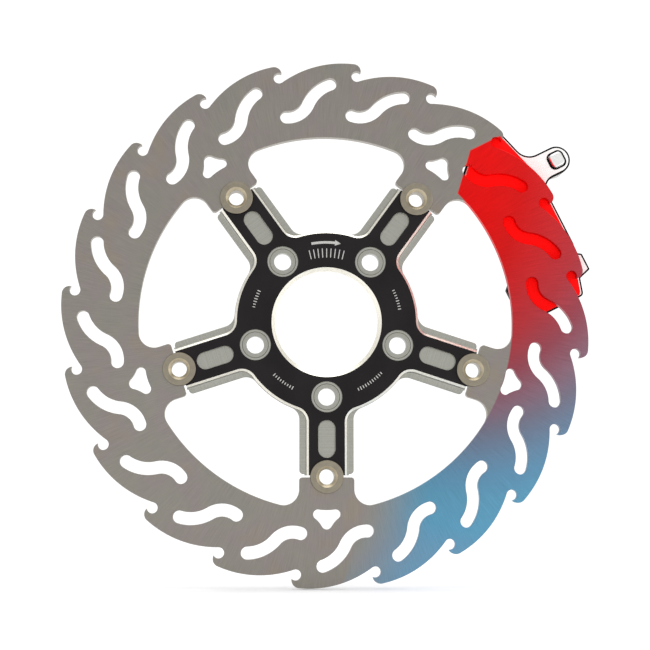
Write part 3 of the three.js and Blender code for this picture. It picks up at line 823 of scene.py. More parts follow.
@dataclass(frozen=True)
class GroundSteel:
    """Martensitic stainless steel, ground flat between two wheels.

    The wheels leave fine scratches that cross the band from its inner to its outer edge, slightly
    bowed, over broad soft clouds of warmer and cooler grey.
    """

    name: str = "ground stainless steel"
    clouds: tuple[str, ...] = ("86847d", "8a867e", "8a837f", "8d857a")
    contrast: float = 0.11
    scratch_width: float = 0.42  # real ones are 0.05 mm, drawn as wide as they need to show
    scratch_length: float = 14.0
    bow: float = 0.0006  # radians that a scratch leans over each millimetre
    cloud: float = 22.0
    roughness: float = 0.38
    tint: HeatTint = HeatTint()

    def material(self) -> bpy.types.Material:
        """Builds the material."""
        material, tree, shader = new_material(self.name)
        place = DiscPlace.of(tree)
        lean = add_node(tree, "ShaderNodeMath", {0: place.radius, 1: self.bow, 2: place.angle},
                        operation="MULTIPLY_ADD")
        round_way = add_node(tree, "ShaderNodeMath", {0: lean.outputs[0], 1: 125 / self.scratch_width},
                             operation="MULTIPLY")
        out_way = add_node(tree, "ShaderNodeMath", {0: place.radius, 1: 1 / self.scratch_length},
                           operation="MULTIPLY")
        path = add_node(tree, "ShaderNodeCombineXYZ", {"X": round_way.outputs[0], "Y": out_way.outputs[0]})
        scratch = add_node(tree, "ShaderNodeTexNoise",
                           {"Vector": path.outputs[0], "Scale": 1.0, "Detail": 3.0, "Roughness": 0.6})
        cloud = add_node(tree, "ShaderNodeTexNoise",
                         {"Vector": place.whole, "Scale": 1 / self.cloud, "Detail": 2.0})
        steel = ramp(tree, cloud.outputs[0], list(zip((0.3, 0.42, 0.56, 0.7), self.clouds)))
        streak = add_node(tree, "ShaderNodeMapRange", {
            "Value": scratch.outputs[0], "From Min": 0.3, "From Max": 0.7,
            "To Min": 1 - self.contrast, "To Max": 1 + self.contrast,
        })
        colour = add_node(tree, "ShaderNodeVectorMath", {
            0: self.tint.over(tree, place, steel), "Scale": streak.outputs[0],
        }, operation="SCALE").outputs[0]
        rough = add_node(tree, "ShaderNodeMapRange", {
            "Value": scratch.outputs[0], "From Min": 0.3, "From Max": 0.7,
            "To Min": self.roughness - 0.07, "To Max": self.roughness + 0.07,
        })
        bump = add_node(tree, "ShaderNodeBump",
                        {"Height": scratch.outputs[0], "Strength": 0.35, "Distance": 0.01 * MM})
        shader.inputs["Metallic"].default_value = 1.0
        tree.links.new(colour, shader.inputs["Base Color"])
        tree.links.new(rough.outputs[0], shader.inputs["Roughness"])
        tree.links.new(bump.outputs[0], shader.inputs["Normal"])
        return material


@dataclass(frozen=True)
class LaserCut:
    """The cut edge of the rotor: fine ridges through the thickness, a little darker than the faces."""

    name: str = "laser-cut stainless edge"
    dark: str = "98938a"
    light: str = "aaa59b"
    ridge: float = 0.35
    tint: HeatTint = HeatTint()

    def material(self) -> bpy.types.Material:
        """Builds the material."""
        material, tree, shader = new_material(self.name)
        place = DiscPlace.of(tree)
        squash = add_node(tree, "ShaderNodeVectorMath", {0: place.whole, 1: (1.0, 0.08, 1.0)},
                          operation="MULTIPLY")
        ridges = add_node(tree, "ShaderNodeTexNoise",
                          {"Vector": squash.outputs[0], "Scale": 1 / self.ridge, "Detail": 2.0})
        tone = ramp(tree, ridges.outputs[0], [(0.3, self.dark), (0.7, self.light)])
        bump = add_node(tree, "ShaderNodeBump",
                        {"Height": ridges.outputs[0], "Strength": 0.6, "Distance": 0.03 * MM})
        shader.inputs["Metallic"].default_value = 1.0
        shader.inputs["Roughness"].default_value = 0.42
        tree.links.new(self.tint.over(tree, place, tone), shader.inputs["Base Color"])
        tree.links.new(bump.outputs[0], shader.inputs["Normal"])
        return material


@dataclass(frozen=True)
class BlackAnodise:
    """Aluminium with a black anodised skin: satin, very dark, with a faint milled grain beneath."""

    name: str = "black anodised aluminium"
    dark: str = "110d0e"
    light: str = "181415"

    def material(self) -> bpy.types.Material:
        """Builds the material."""
        material, tree, shader = new_material(self.name)
        place = DiscPlace.of(tree)
        grain = add_node(tree, "ShaderNodeTexNoise",
                         {"Vector": place.whole, "Scale": 2.2, "Detail": 4.0, "Roughness": 0.7})
        cloud = add_node(tree, "ShaderNodeTexNoise", {"Vector": place.whole, "Scale": 0.05})
        tone = ramp(tree, cloud.outputs[0], [(0.35, self.dark), (0.65, self.light)])
        rough = add_node(tree, "ShaderNodeMapRange",
                         {"Value": grain.outputs[0], "To Min": 0.34, "To Max": 0.5})
        bump = add_node(tree, "ShaderNodeBump",
                        {"Height": grain.outputs[0], "Strength": 0.25, "Distance": 0.01 * MM})
        shader.inputs["Specular IOR Level"].default_value = 0.18
        tree.links.new(tone, shader.inputs["Base Color"])
        tree.links.new(rough.outputs[0], shader.inputs["Roughness"])
        tree.links.new(bump.outputs[0], shader.inputs["Normal"])
        return material


@dataclass(frozen=True)
class Milled:
    """Aluminium cut by a tool.

    The cutter's feed leaves fine parallel lines, and the seats of the bolts have rings instead.
    """

    name: str
    dark: str
    light: str
    roughness: float
    pitch: float = 0.5  # real feed lines are 0.1 mm apart, drawn as coarse as they need to show
    arms: int = 5
    seat_circle: float = 41.275
    seat_radius: float = 8.5

    def material(self) -> bpy.types.Material:
        """Builds the material."""
        material, tree, shader = new_material(self.name)
        place = DiscPlace.of(tree)
        part = TURN / self.arms
        quarter = add_node(tree, "ShaderNodeMath", {0: place.angle, 1: math.pi / 2}, operation="ADD")
        nearest = add_node(tree, "ShaderNodeMath", {0: quarter.outputs[0], 1: part / 2, 2: -part / 2},
                           operation="WRAP")
        sine = add_node(tree, "ShaderNodeMath", {0: nearest.outputs[0]}, operation="SINE")
        cosine = add_node(tree, "ShaderNodeMath", {0: nearest.outputs[0]}, operation="COSINE")
        across = add_node(tree, "ShaderNodeMath", {0: place.radius, 1: sine.outputs[0]},
                          operation="MULTIPLY")
        out = add_node(tree, "ShaderNodeMath",
                       {0: place.radius, 1: cosine.outputs[0], 2: -self.seat_circle},
                       operation="MULTIPLY_ADD")
        local = add_node(tree, "ShaderNodeCombineXYZ", {"X": across.outputs[0], "Y": out.outputs[0]})
        reach = add_node(tree, "ShaderNodeVectorMath", {0: local.outputs[0]}, operation="LENGTH")
        seat = add_node(tree, "ShaderNodeMath", {0: reach.outputs["Value"], 1: self.seat_radius},
                        operation="LESS_THAN")
        way = add_node(tree, "ShaderNodeMix",
                       {0: seat.outputs[0], 2: out.outputs[0], 3: reach.outputs["Value"]})
        fine = add_node(tree, "ShaderNodeTexNoise",
                        {"W": way.outputs[0], "Scale": 1 / self.pitch, "Detail": 2.0},
                        noise_dimensions="1D")
        speck = add_node(tree, "ShaderNodeTexNoise",
                         {"Vector": place.whole, "Scale": 1.4, "Detail": 3.0})
        both = add_node(tree, "ShaderNodeMix", {0: 0.35, 2: fine.outputs[0], 3: speck.outputs[0]})
        tone = ramp(tree, both.outputs[0], [(0.35, self.dark), (0.65, self.light)])
        bump = add_node(tree, "ShaderNodeBump",
                        {"Height": both.outputs[0], "Strength": 0.3, "Distance": 0.01 * MM})
        shader.inputs["Metallic"].default_value = 1.0
        shader.inputs["Roughness"].default_value = self.roughness
        tree.links.new(tone, shader.inputs["Base Color"])
        tree.links.new(bump.outputs[0], shader.inputs["Normal"])
        return material


@dataclass(frozen=True)
class Turned:
    """Metal turned on a lathe: rings round the piece's own axis, read from its points' radii."""

    name: str
    dark: str
    light: str
    roughness: float
    ring: float = 0.28  # real rings are 0.08 mm apart, drawn as coarse as they need to show
    metallic: float = 1.0

    def material(self) -> bpy.types.Material:
        """Builds the material."""
        material, tree, shader = new_material(self.name)
        place = DiscPlace.of(tree)
        radius = add_node(tree, "ShaderNodeAttribute", attribute_name="turned")
        rings = add_node(tree, "ShaderNodeTexNoise",
                         {"W": radius.outputs["Fac"], "Scale": 1 / self.ring, "Detail": 2.0},
                         noise_dimensions="1D")
        stain = add_node(tree, "ShaderNodeTexNoise",
                         {"Vector": place.whole, "Scale": 0.35, "Detail": 3.0})
        both = add_node(tree, "ShaderNodeMix", {0: 0.45, 2: rings.outputs[0], 3: stain.outputs[0]})
        tone = ramp(tree, both.outputs[0], [(0.35, self.dark), (0.65, self.light)])
        bump = add_node(tree, "ShaderNodeBump",
                        {"Height": rings.outputs[0], "Strength": 0.4, "Distance": 0.01 * MM})
        shader.inputs["Metallic"].default_value = self.metallic
        shader.inputs["Roughness"].default_value = self.roughness
        tree.links.new(tone, shader.inputs["Base Color"])
        tree.links.new(bump.outputs[0], shader.inputs["Normal"])
        return material


@dataclass(frozen=True)
class Coat:
    """A coat on steel, such as stove enamel or rubber: one tone, with a fine pebbled surface."""

    name: str
    dark: str
    light: str
    roughness: float
    grain: float  # size of the pebbles in millimetres
    depth: float  # their height in millimetres
    metallic: float = 0.0
    specular: float = 0.5

    def material(self) -> bpy.types.Material:
        """Builds the material."""
        material, tree, shader = new_material(self.name)
        place = DiscPlace.of(tree)
        pebble = add_node(tree, "ShaderNodeTexNoise",
                          {"Vector": place.whole, "Scale": 1 / self.grain, "Detail": 3.0})
        tone = ramp(tree, pebble.outputs[0], [(0.3, self.dark), (0.7, self.light)])
        bump = add_node(tree, "ShaderNodeBump",
                        {"Height": pebble.outputs[0], "Strength": 0.5, "Distance": self.depth * MM})
        shader.inputs["Metallic"].default_value = self.metallic
        shader.inputs["Roughness"].default_value = self.roughness
        shader.inputs["Specular IOR Level"].default_value = self.specular
        tree.links.new(tone, shader.inputs["Base Color"])
        tree.links.new(bump.outputs[0], shader.inputs["Normal"])
        return material


@dataclass(frozen=True)
class Friction:
    """Moulded friction compound, pigmented bright red, speckled with darker flecks, with a painted glow.
    """

    name: str = "red friction compound"
    colour: str = "fb0705"
    fleck: str = "c90a08"
    # painted light: the emission below makes the lining glow where the slots shade it, though it is no
    # lamp
    painted_glow: float = 0.3  # not a real property: it keeps the red flat and bright where the slots shade it

    def material(self) -> bpy.types.Material:
        """Builds the material."""
        material, tree, shader = new_material(self.name)
        place = DiscPlace.of(tree)
        flecks = add_node(tree, "ShaderNodeTexVoronoi", {"Vector": place.whole, "Scale": 1.1})
        grit = add_node(tree, "ShaderNodeTexNoise", {"Vector": place.whole, "Scale": 3.0, "Detail": 4.0})
        tone = ramp(tree, flecks.outputs["Distance"], [(0.04, self.fleck), (0.12, self.colour)])
        bump = add_node(tree, "ShaderNodeBump",
                        {"Height": grit.outputs[0], "Strength": 0.5, "Distance": 0.08 * MM})
        shader.inputs["Roughness"].default_value = 0.85
        shader.inputs["Specular IOR Level"].default_value = 0.2
        # painted light: emission that lights the red where the slots shade it
        shader.inputs["Emission Color"].default_value = linear("ff0000")
        shader.inputs["Emission Strength"].default_value = self.painted_glow
        tree.links.new(tone, shader.inputs["Base Color"])
        tree.links.new(bump.outputs[0], shader.inputs["Normal"])
        return material


@dataclass
class Finishes:
    """Every finish of the object, each made once."""

    ground: Any = field(default_factory=lambda: GroundSteel().material())
    cut: Any = field(default_factory=lambda: LaserCut().material())
    black: Any = field(default_factory=lambda: BlackAnodise().material())
    milled: Any = field(default_factory=lambda: Milled(
        "milled aluminium", "96968e", "a6a69d", 0.36).material())
    bright: Any = field(default_factory=lambda: Milled(
        "bright-cut aluminium", "eae7db", "f4f1e6", 0.3, 1.2).material())
    etched: Any = field(default_factory=lambda: Coat(
        "laser-marked anodising", "a8a6a2", "c4c2be", 0.6, 0.4, 0.005).material())
    bobbin: Any = field(default_factory=lambda: Turned(
        "turned bobbin steel", "857e70", "948c7b", 0.34).material())
    # painted highlight: the countersink is the bobbin's own steel, given a lighter tone for the light it
    # catches
    mouth_highlight: Any = field(default_factory=lambda: Turned(
        "countersunk bobbin steel, painted highlight", "aea38b", "bfb49b", 0.32).material())
    spring: Any = field(default_factory=lambda: Turned(
        "rolled spring steel", "6f6c66", "86827b", 0.3).material())
    zinc: Any = field(default_factory=lambda: Turned(
        "zinc-plated steel", "a5a39b", "bdbbb2", 0.33).material())
    phosphate: Any = field(default_factory=lambda: Coat(
        "phosphated spring steel", "2b2927", "3b3936", 0.45, 0.5, 0.01, 0.6).material())
    enamel: Any = field(default_factory=lambda: Coat(
        "white stove enamel", "f3f2ef", "fbfaf8", 0.35, 0.8, 0.006).material())
    edge: Any = field(default_factory=lambda: Coat(
        "black edge lacquer", "080809", "0e0e0f", 0.5, 0.6, 0.01, 0.0, 0.1).material())
    rubber: Any = field(default_factory=lambda: Coat(
        "rubber-coated shim", "232325", "303033", 0.7, 0.35, 0.02).material())
    friction: Any = field(default_factory=lambda: Friction().material())
    polished: Any = field(default_factory=lambda: Coat(
        "polished stainless pin", "e4e4e2", "f0f0ee", 0.2, 1.5, 0.002, 1.0).material())


# ------------------------------------------------------------------------------- rotor


@dataclass
class Rotor:
    """The ground steel ring: hooked teeth, S-slots, three-lobed holes and notched lugs."""

    finishes: Finishes
    tools: Toolbox
    outer_radius: float = 146.05
    inner_radius: float = 103.35
    thickness: float = 5.0
    edge_break: float = 0.18
    arms: int = 5
    teeth: int = 20
    first_arm: float = 1.5 * math.pi
    bite_radius: float = 3.0
    bite_depth: float = 6.85
    bite_lead: float = math.radians(7.03)
    nose_radius: float = 4.25
    beak_span: float = 3.5
    slot_width: float = 7.0
    hook_radius: float = 12.5
    hook_centre: Point = (-21.7, 127.0)
    hook_start: float = math.radians(-92.8)
    handover: float = math.radians(-23.5)
    sweep_radius: float = 21.0
    sweep_end: float = math.radians(109.0)
    bobbin_circle: float = 85.05
    notch_radius: float = 6.8
    lug_half_width: float = 15.07
    lug_setback: float = 0.25
    lug_fillet: float = 8.5
    lug_corner: float = 1.8

    def tooth_edge(self) -> Loop:
        """The whole hooked edge, anticlockwise, with the same number of points in every tooth."""
        outer = self.outer_radius
        bites, noses = outer - self.bite_depth, outer - self.nose_radius
        lead = math.acos((bites**2 + noses**2 - self.beak_span**2) / (2 * bites * noses))
        pitch = TURN / self.teeth
        reach = bites * math.cos(pitch - lead)
        back_radius = (outer**2 + bites**2 - self.bite_radius**2 - 2 * outer * reach) / (
            2 * (outer + self.bite_radius - reach))
        first = self.first_arm - self.bite_lead
        bite, nose = polar(bites, first), polar(noses, first + lead)
        back = polar(outer - back_radius, first + lead)
        back_before = polar(outer - back_radius, first + lead - pitch)
        beak = crossing(nose, self.nose_radius, bite, self.bite_radius)
        start = heading(bite, back_before)
        rise = heading(nose, beak)
        next_bite = polar(bites, first + pitch)
        tooth = (
            arc(bite, self.bite_radius, start, at_most(heading(bite, beak), start))
            + arc(nose, self.nose_radius, rise, at_least(first + lead, rise))[1:]
            + arc(back, back_radius, first + lead, at_least(heading(back, next_bite), first + lead))[1:-1]
        )
        return [p for k in range(self.teeth) for p in spun(tooth, k * pitch)]

    def slot_edge(self) -> Loop:
        """One S-shaped slot, upright: a tight hook that hands over to a wider sweep."""
        half = self.slot_width / 2
        hook = self.hook_centre
        step = polar(self.hook_radius + self.sweep_radius, self.handover)
        sweep = (hook[0] + step[0], hook[1] + step[1])
        low = polar(self.hook_radius, self.hook_start)
        high = polar(self.sweep_radius, self.sweep_end)
        inner = (hook[0] + low[0], hook[1] + low[1])
        outer = (sweep[0] + high[0], sweep[1] + high[1])
        return joined(
            arc(hook, self.hook_radius + half, self.hook_start, self.handover),
            arc(sweep, self.sweep_radius - half, self.handover + math.pi, self.sweep_end),
            arc(outer, half, self.sweep_end - math.pi, self.sweep_end),
            arc(sweep, self.sweep_radius + half, self.sweep_end, self.handover + math.pi),
            arc(hook, self.hook_radius - half, self.handover, self.hook_start),
            arc(inner, half, self.hook_start + math.pi, self.hook_start + TURN),
        )

    def keyhole_edge(self) -> Loop:
        """The three-lobed hole at the root of a lug, upright."""
        base, apex = self.inner_radius + 2.1, self.inner_radius + 7.15
        lobes = [((0.0, apex), 3.1, 16.0), ((-4.85, base), 2.7, 30.0), ((4.85, base), 2.7, 16.0)]
        count = len(lobes)
        hollows = [
            crossing(lobes[(i + 1) % count][0], side + lobes[(i + 1) % count][1], at, side + radius)
            for i, (at, radius, side) in enumerate(lobes)
        ]
        runs = []
        for i, (at, radius, side) in enumerate(lobes):
            start = heading(at, hollows[i - 1])
            runs.append(arc(at, radius, start, at_least(heading(at, hollows[i]), start)))
            start = heading(hollows[i], at)
            runs.append(arc(hollows[i], side, start,
                            at_most(heading(hollows[i], lobes[(i + 1) % count][0]), start)))
        return joined(*runs)

    def lug_edge(self) -> Loop:
        """One fifth of the ring's inner edge with its notched lug, upright, ends not doubled."""
        across = self.lug_half_width + self.lug_fillet
        up = math.sqrt((self.inner_radius - self.lug_fillet) ** 2 - across**2)
        ring_start = math.atan2(up, -across)
        middle = math.pi / 2 + math.pi / self.arms
        notch_start = math.pi - math.asin(self.lug_setback / self.notch_radius)
        corner = (-self.lug_half_width + self.lug_corner,
                  self.bobbin_circle + self.lug_setback + self.lug_corner)
        left = (
            arc((0, 0), self.inner_radius, middle, ring_start)
            + arc((-across, up), self.lug_fillet, ring_start, 0)[1:]
            + arc(corner, self.lug_corner, math.pi, 1.5 * math.pi)
            + arc((0, self.bobbin_circle), self.notch_radius, notch_start, math.pi / 2)
        )
        right = [(-x, y) for x, y in reversed(left[:-1])]
        return left + right[:-1]

    def build(self) -> None:
        """Makes the rotor: one stretch of each wall, repeated round the axle, and two flat faces."""
        half, brk = self.thickness / 2, self.edge_break
        levels = [(-half, brk), (-half + brk, 0.0), (half - brk, 0.0), (half, brk)]
        slots = [0, 0, 0]
        cut = self.finishes.cut
        upright = self.first_arm - math.pi / 2
        walls = []
        edge = self.tooth_edge()
        count = len(edge) // self.teeth
        lugs = [p for k in range(self.arms) for p in spun(self.lug_edge(), -k * TURN / self.arms)]
        lug_count = len(lugs) // self.arms
        for name, loop, length, copies, hole in (
            ("tooth_wall", edge, count, self.teeth, False),
            ("lug_wall", spun(lugs, upright), lug_count, self.arms, True),
        ):
            shell = Shell()
            steps = inward(loop)
            run = [*range(length), length]
            shell.walls([loop[i] for i in run], levels, slots, hole, [steps[i] for i in run])
            walls.append(run_tree(shell.thing(name, [cut]), self.tools.repeat, Count=copies, Material=cut))
        for name, loop, copies in (
            ("slot_wall", spun(self.slot_edge(), upright), self.teeth),
            ("keyhole_wall", spun(self.keyhole_edge(), upright), self.arms),
        ):
            shell = Shell()
            shell.walls(loop, levels, slots, hole=True)
            walls.append(run_tree(shell.thing(name, [cut]), self.tools.repeat, Count=copies, Material=cut))
        rotor = merged("rotor_ring", walls, [cut])
        run_tree(rotor, self.tools.cap, Front=-half * MM, Back=half * MM,
                 Face_Material=self.finishes.ground, Edge_Material=cut)
        finished(rotor, "rotor", "ground_steel", "rotor")


# ------------------------------------------------------------------------------- carrier


@dataclass
class Carrier:
    """The five-armed aluminium centre: black raised face, bright cut edge, milled flange."""

    finishes: Finishes
    tools: Toolbox
    arms: int = 5
    first_arm: float = 1.5 * math.pi
    front: float = -2.5
    back: float = 2.5
    hub_face: float = 3.3
    hub_face_radius: float = 49.0
    flange_front: float = 0.3
    bore_radius: float = 28.4
    bore_chamfer: float = 2.0
    rim_radius: float = 49.5
    arm_half_width: float = 9.9
    arm_fillet: float = 8.5
    edge_chamfer: float = 1.2
    flange_half_width: float = 14.9
    flange_fillet: float = 7.0
    flange_corner: float = 2.0
    flange_lip: float = 1.4
    edge_break: float = 0.22
    hole_break: float = 0.08
    root_radius: float = 1.1  # hollow blend between the raised star's wall and the flange
    root_steps: int = 5
    bobbin_circle: float = 85.05
    notch_radius: float = 6.8
    arm_setback: float = 0.85
    flange_setback: float = 1.65
    bolt_circle: float = 41.275
    bolt_radius: float = 4.8
    seat_radius: float = 8.4
    seat_depth: float = 0.4
    floor_break: float = 0.2  # slope where a pocket's floor meets its wall
    bore_lead: float = 0.5  # the light chamfer at the back of the bore
    flat_limit: float = 0.99  # a face that looks this straight along the axle isn't a wall
    seat_groove: float = 7.1
    seat_groove_depth: float = 0.22
    pocket_width: float = 9.4
    pocket_depth: float = 1.6
    pocket_inner: float = 54.1
    pocket_outer: float = 74.6
    overcut: float = 1.0

    def directions(self) -> list[float]:
        """Directions of the arms, clockwise from the first."""
        return [self.first_arm - TURN * k / self.arms for k in range(self.arms)]

    def star(self, hub: float, half: float, fillet: float, end: float, corner: float) -> Loop:
        """A round hub with straight arms blended into it.

        Args:
            hub: radius of the hub.
            half: half the width of an arm.
            fillet: radius of the blend.
            end: how far an arm reaches.
            corner: radius of its end corners.

        Returns:
            The closed outline.
        """
        across = half + fillet
        up = math.sqrt((hub + fillet) ** 2 - across**2)
        hub_end = math.atan2(up, -across)
        left = (
            arc((0, 0), hub, math.pi / 2 + math.pi / self.arms, hub_end)
            + arc((-across, up), fillet, hub_end - math.pi, 0)
            + arc((-half + corner, end - corner), corner, math.pi, math.pi / 2)
        )
        return joined(*(spun(mirrored(left), d - math.pi / 2) for d in self.directions()))

    def disc(self, name: str, section: Sequence[tuple[float, float, int]], centre: Point,
             materials: Sequence[Any], segments: int = 96) -> bpy.types.Object:
        """A solid of revolution whose section starts and ends on the axis."""
        shell = Shell()
        for (r0, y0, slot), (r1, y1, _) in zip(section, section[1:]):
            rings = [
                [(centre[0] + r * math.cos(TURN * i / segments), y,
                  centre[1] + r * math.sin(TURN * i / segments)) for i in range(segments)]
                for r, y in ((r0, y0), (r1, y1))
            ]
            if r0 and r1:
                shell.band(rings, True, [slot])
                continue
            ring, tip = (rings[1], (centre[0], y0, centre[1])) if r1 else (rings[0],
                                                                         (centre[0], y1, centre[1]))
            start = len(shell.points)
            shell.points.extend([*ring, tip])
            for i in range(segments):
                shell.faces.append((start + i, start + (i + 1) % segments, start + segments))
                shell.slots.append(slot)
        return shell.thing(name, materials)

    def blank(self) -> bpy.types.Object:
        """The raised star, the flange behind it and the hub face, before any hole is cut."""
        paint, bright, milled = self.finishes.black, self.finishes.bright, self.finishes.milled
        chamfer, brk = self.edge_chamfer, self.edge_break
        face = self.star(self.rim_radius + chamfer, self.arm_half_width + chamfer,
                         self.arm_fillet - chamfer,
                         self.bobbin_circle - self.arm_setback + 2 * chamfer, 2 * chamfer)
        root = self.root_radius
        sweep = [math.pi / 2 * k / self.root_steps for k in range(self.root_steps + 1)]
        star = self.tools.plate("raised_star", face, [], [
            (self.front, chamfer), (self.front + chamfer, 0.0),
            *((self.flange_front - root * (1 - math.sin(t)), -root * (1 - math.cos(t))) for t in sweep),
            (self.flange_front + root / 2, -root),
        ], paint, bright, [max(0.0, min(1.0, (math.hypot(*p) - self.rim_radius - self.flange_lip) / 4))
                           for p in face])
        star.data.materials.append(milled)
        for polygon in star.data.polygons:
            if polygon.center.y > (self.front + chamfer) * MM and abs(polygon.normal.y) < self.flat_limit:
                polygon.material_index = len(star.data.materials) - 1
        outline = self.star(self.rim_radius + self.flange_lip, self.flange_half_width,
                            self.flange_fillet, self.bobbin_circle - self.flange_setback,
                            self.flange_corner)
        flange = self.tools.plate("flange", outline, [], [
            (self.flange_front, brk), (self.flange_front + brk, 0.0),
            (self.back - brk, 0.0), (self.back, brk),
        ], milled, milled)
        body = combined(star, flange, Join.UNION)
        hub = self.disc("hub_face", [
            (0.0, 0.0, 0), (self.hub_face_radius, 0.0, 0), (self.hub_face_radius, self.hub_face - brk, 0),
            (self.hub_face_radius - brk, self.hub_face, 0), (0.0, self.hub_face, 0),
        ], (0.0, 0.0), [milled], 192)
        trims = []
        for k, direction in enumerate(self.directions()):
            half, far = self.flange_half_width + self.overcut, self.bobbin_circle + self.notch_radius
            near = self.bobbin_circle - self.arm_setback
            corners = spun([(-half, near), (half, near), (half, far), (-half, far)],
                           direction - math.pi / 2)
            trims.append(self.tools.plate(f"trim_{k}", corners, [], [
                (self.front - self.overcut, 0.0), (self.back, 0.0)], milled, milled))
        body = combined(body, hub, Join.UNION)
        return combined(body, merged("trims", trims, [milled]), Join.CUT)

    def cutters(self) -> bpy.types.Object:
        """Everything that is cut out of the blank: bore, bolt holes, pockets and notches."""
        bright, milled = self.finishes.bright, self.finishes.milled
        front, rear, over, brk = self.front, self.hub_face, self.overcut, self.hole_break
        bore, chamfer = self.bore_radius, self.bore_chamfer
        tools = [self.disc("bore", [
            (0.0, front - over, 0), (bore + chamfer + over, front - over, 0), (bore, front + chamfer, 0),
            (bore, rear - self.bore_lead, 0), (bore + self.bore_lead + over, rear + over, 0),
            (0.0, rear + over, 0),
        ], (0.0, 0.0), [bright], 256)]
        for k, direction in enumerate(self.directions()):
            seat, hole = self.seat_radius, self.bolt_radius
            step, groove = self.seat_groove, self.seat_groove_depth
            low = front + self.seat_depth
            tools.append(self.disc(f"bolt_{k}", [
                (0.0, front - over, 0), (seat + brk + over, front - over, 0), (seat, front + brk, 0),
                (seat, low, 0), (step + groove, low, 0), (step, low + groove, 0),
                (step - groove, low, 0), (hole + brk, low, 0),
                (hole, low + brk, 0), (hole, rear - brk, 0), (hole + brk + over, rear + over, 0),
                (0.0, rear + over, 0),
            ], polar(self.bolt_circle, direction), [milled]))
            radius = self.pocket_width / 2
            pocket = spun(joined(arc((0, self.pocket_outer - radius), radius, 0, math.pi),
                                 arc((0, self.pocket_inner + radius), radius, math.pi, TURN)),
                          direction - math.pi / 2)
            floor = front + self.pocket_depth
            tools.append(self.tools.plate(f"pocket_{k}", pocket, [], [
                (front - over, -over - brk), (front + brk, 0.0),
                (floor - self.floor_break, 0.0), (floor, self.floor_break),
            ], milled, milled))
            notch = arc(polar(self.bobbin_circle, direction), self.notch_radius, 0, TURN)[1:]
            tools.append(self.tools.plate(f"notch_{k}", notch, [], [
                (front - over, 0.0), (self.back + over, 0.0)], milled, milled))
        return merged("cutters", tools, [bright, milled])

    def build(self) -> None:
        """Makes the carrier."""
        body = combined(self.blank(), self.cutters(), Join.CUT)
        body.name = "carrier_body"
        finished(body, "carrier", "black_anodised", "carrier")


@dataclass
class CarrierMarks:
    """Plain marks on the black face, free of letters: a turning arrow, a fan and four rows of strokes."""

    finishes: Finishes
    tools: Toolbox
    face: float = -2.5
    proud: float = 0.02
    stroke: float = 0.5
    row_height: float = 2.1
    row_radius: float = 41.0
    row_step: float = 1.55
    rows: tuple[tuple[float, int], ...] = ((162.0, 7), (234.0, 9), (306.0, 11), (18.0, 8))
    arrow_radii: tuple[float, float] = (43.6, 45.0)
    arrow_span: tuple[float, float] = (101.0, 84.0)
    arrow_head: float = 3.2
    fan_count: int = 9

    def levels(self) -> list[Point]:
        """Stations of a mark's two faces along the axle, which overlap the face a little."""
        return [(self.face - self.proud, 0.0), (self.face + self.proud, 0.0)]

    def bar(self, name: str, height: float) -> bpy.types.Object:
        """One upright stroke with round ends, centred on the axle."""
        radius, reach = self.stroke / 2, (height - self.stroke) / 2
        loop = joined(arc((0, reach), radius, 0, math.pi), arc((0, -reach), radius, math.pi, TURN))
        return self.tools.plate(name, loop, [], self.levels(), self.finishes.etched, self.finishes.etched)

    def build(self) -> None:
        """Makes the rows of strokes and the arrow."""
        etched = self.finishes.etched
        parts = []
        for seed, (middle, count) in enumerate(self.rows):
            row = self.bar(f"row_{seed}", self.row_height)
            parts.append(run_tree(
                row, self.tools.row, Count=count, Radius=self.row_radius * MM,
                Middle=math.radians(middle), Step=self.row_step / self.row_radius, Shortest=0.6,
                Seed=seed + 3, Material=etched))
        inner, outer = self.arrow_radii
        start, end = (math.radians(a) for a in self.arrow_span)
        middle, spread = (inner + outer) / 2, self.arrow_head / 2
        tip = end - self.arrow_head / middle
        shaft = joined(arc((0, 0), outer, start, end), [polar(middle + spread, end), polar(middle, tip),
                                                        polar(middle - spread, end)],
                       arc((0, 0), inner, end, start))
        parts.append(self.tools.plate("arrow", shaft, [], self.levels(), etched, etched))
        fan = self.bar("fan", 5.2)
        parts.append(run_tree(fan, self.tools.row, Count=self.fan_count, Radius=38.4 * MM,
                              Middle=math.pi / 2, Step=2.3 / 38.4, Shortest=1.0, Seed=1, Material=etched))
        finished(merged("carrier_marks", parts, [etched]), "carrier", "black_anodised")


# ------------------------------------------------------------------------------- bobbins


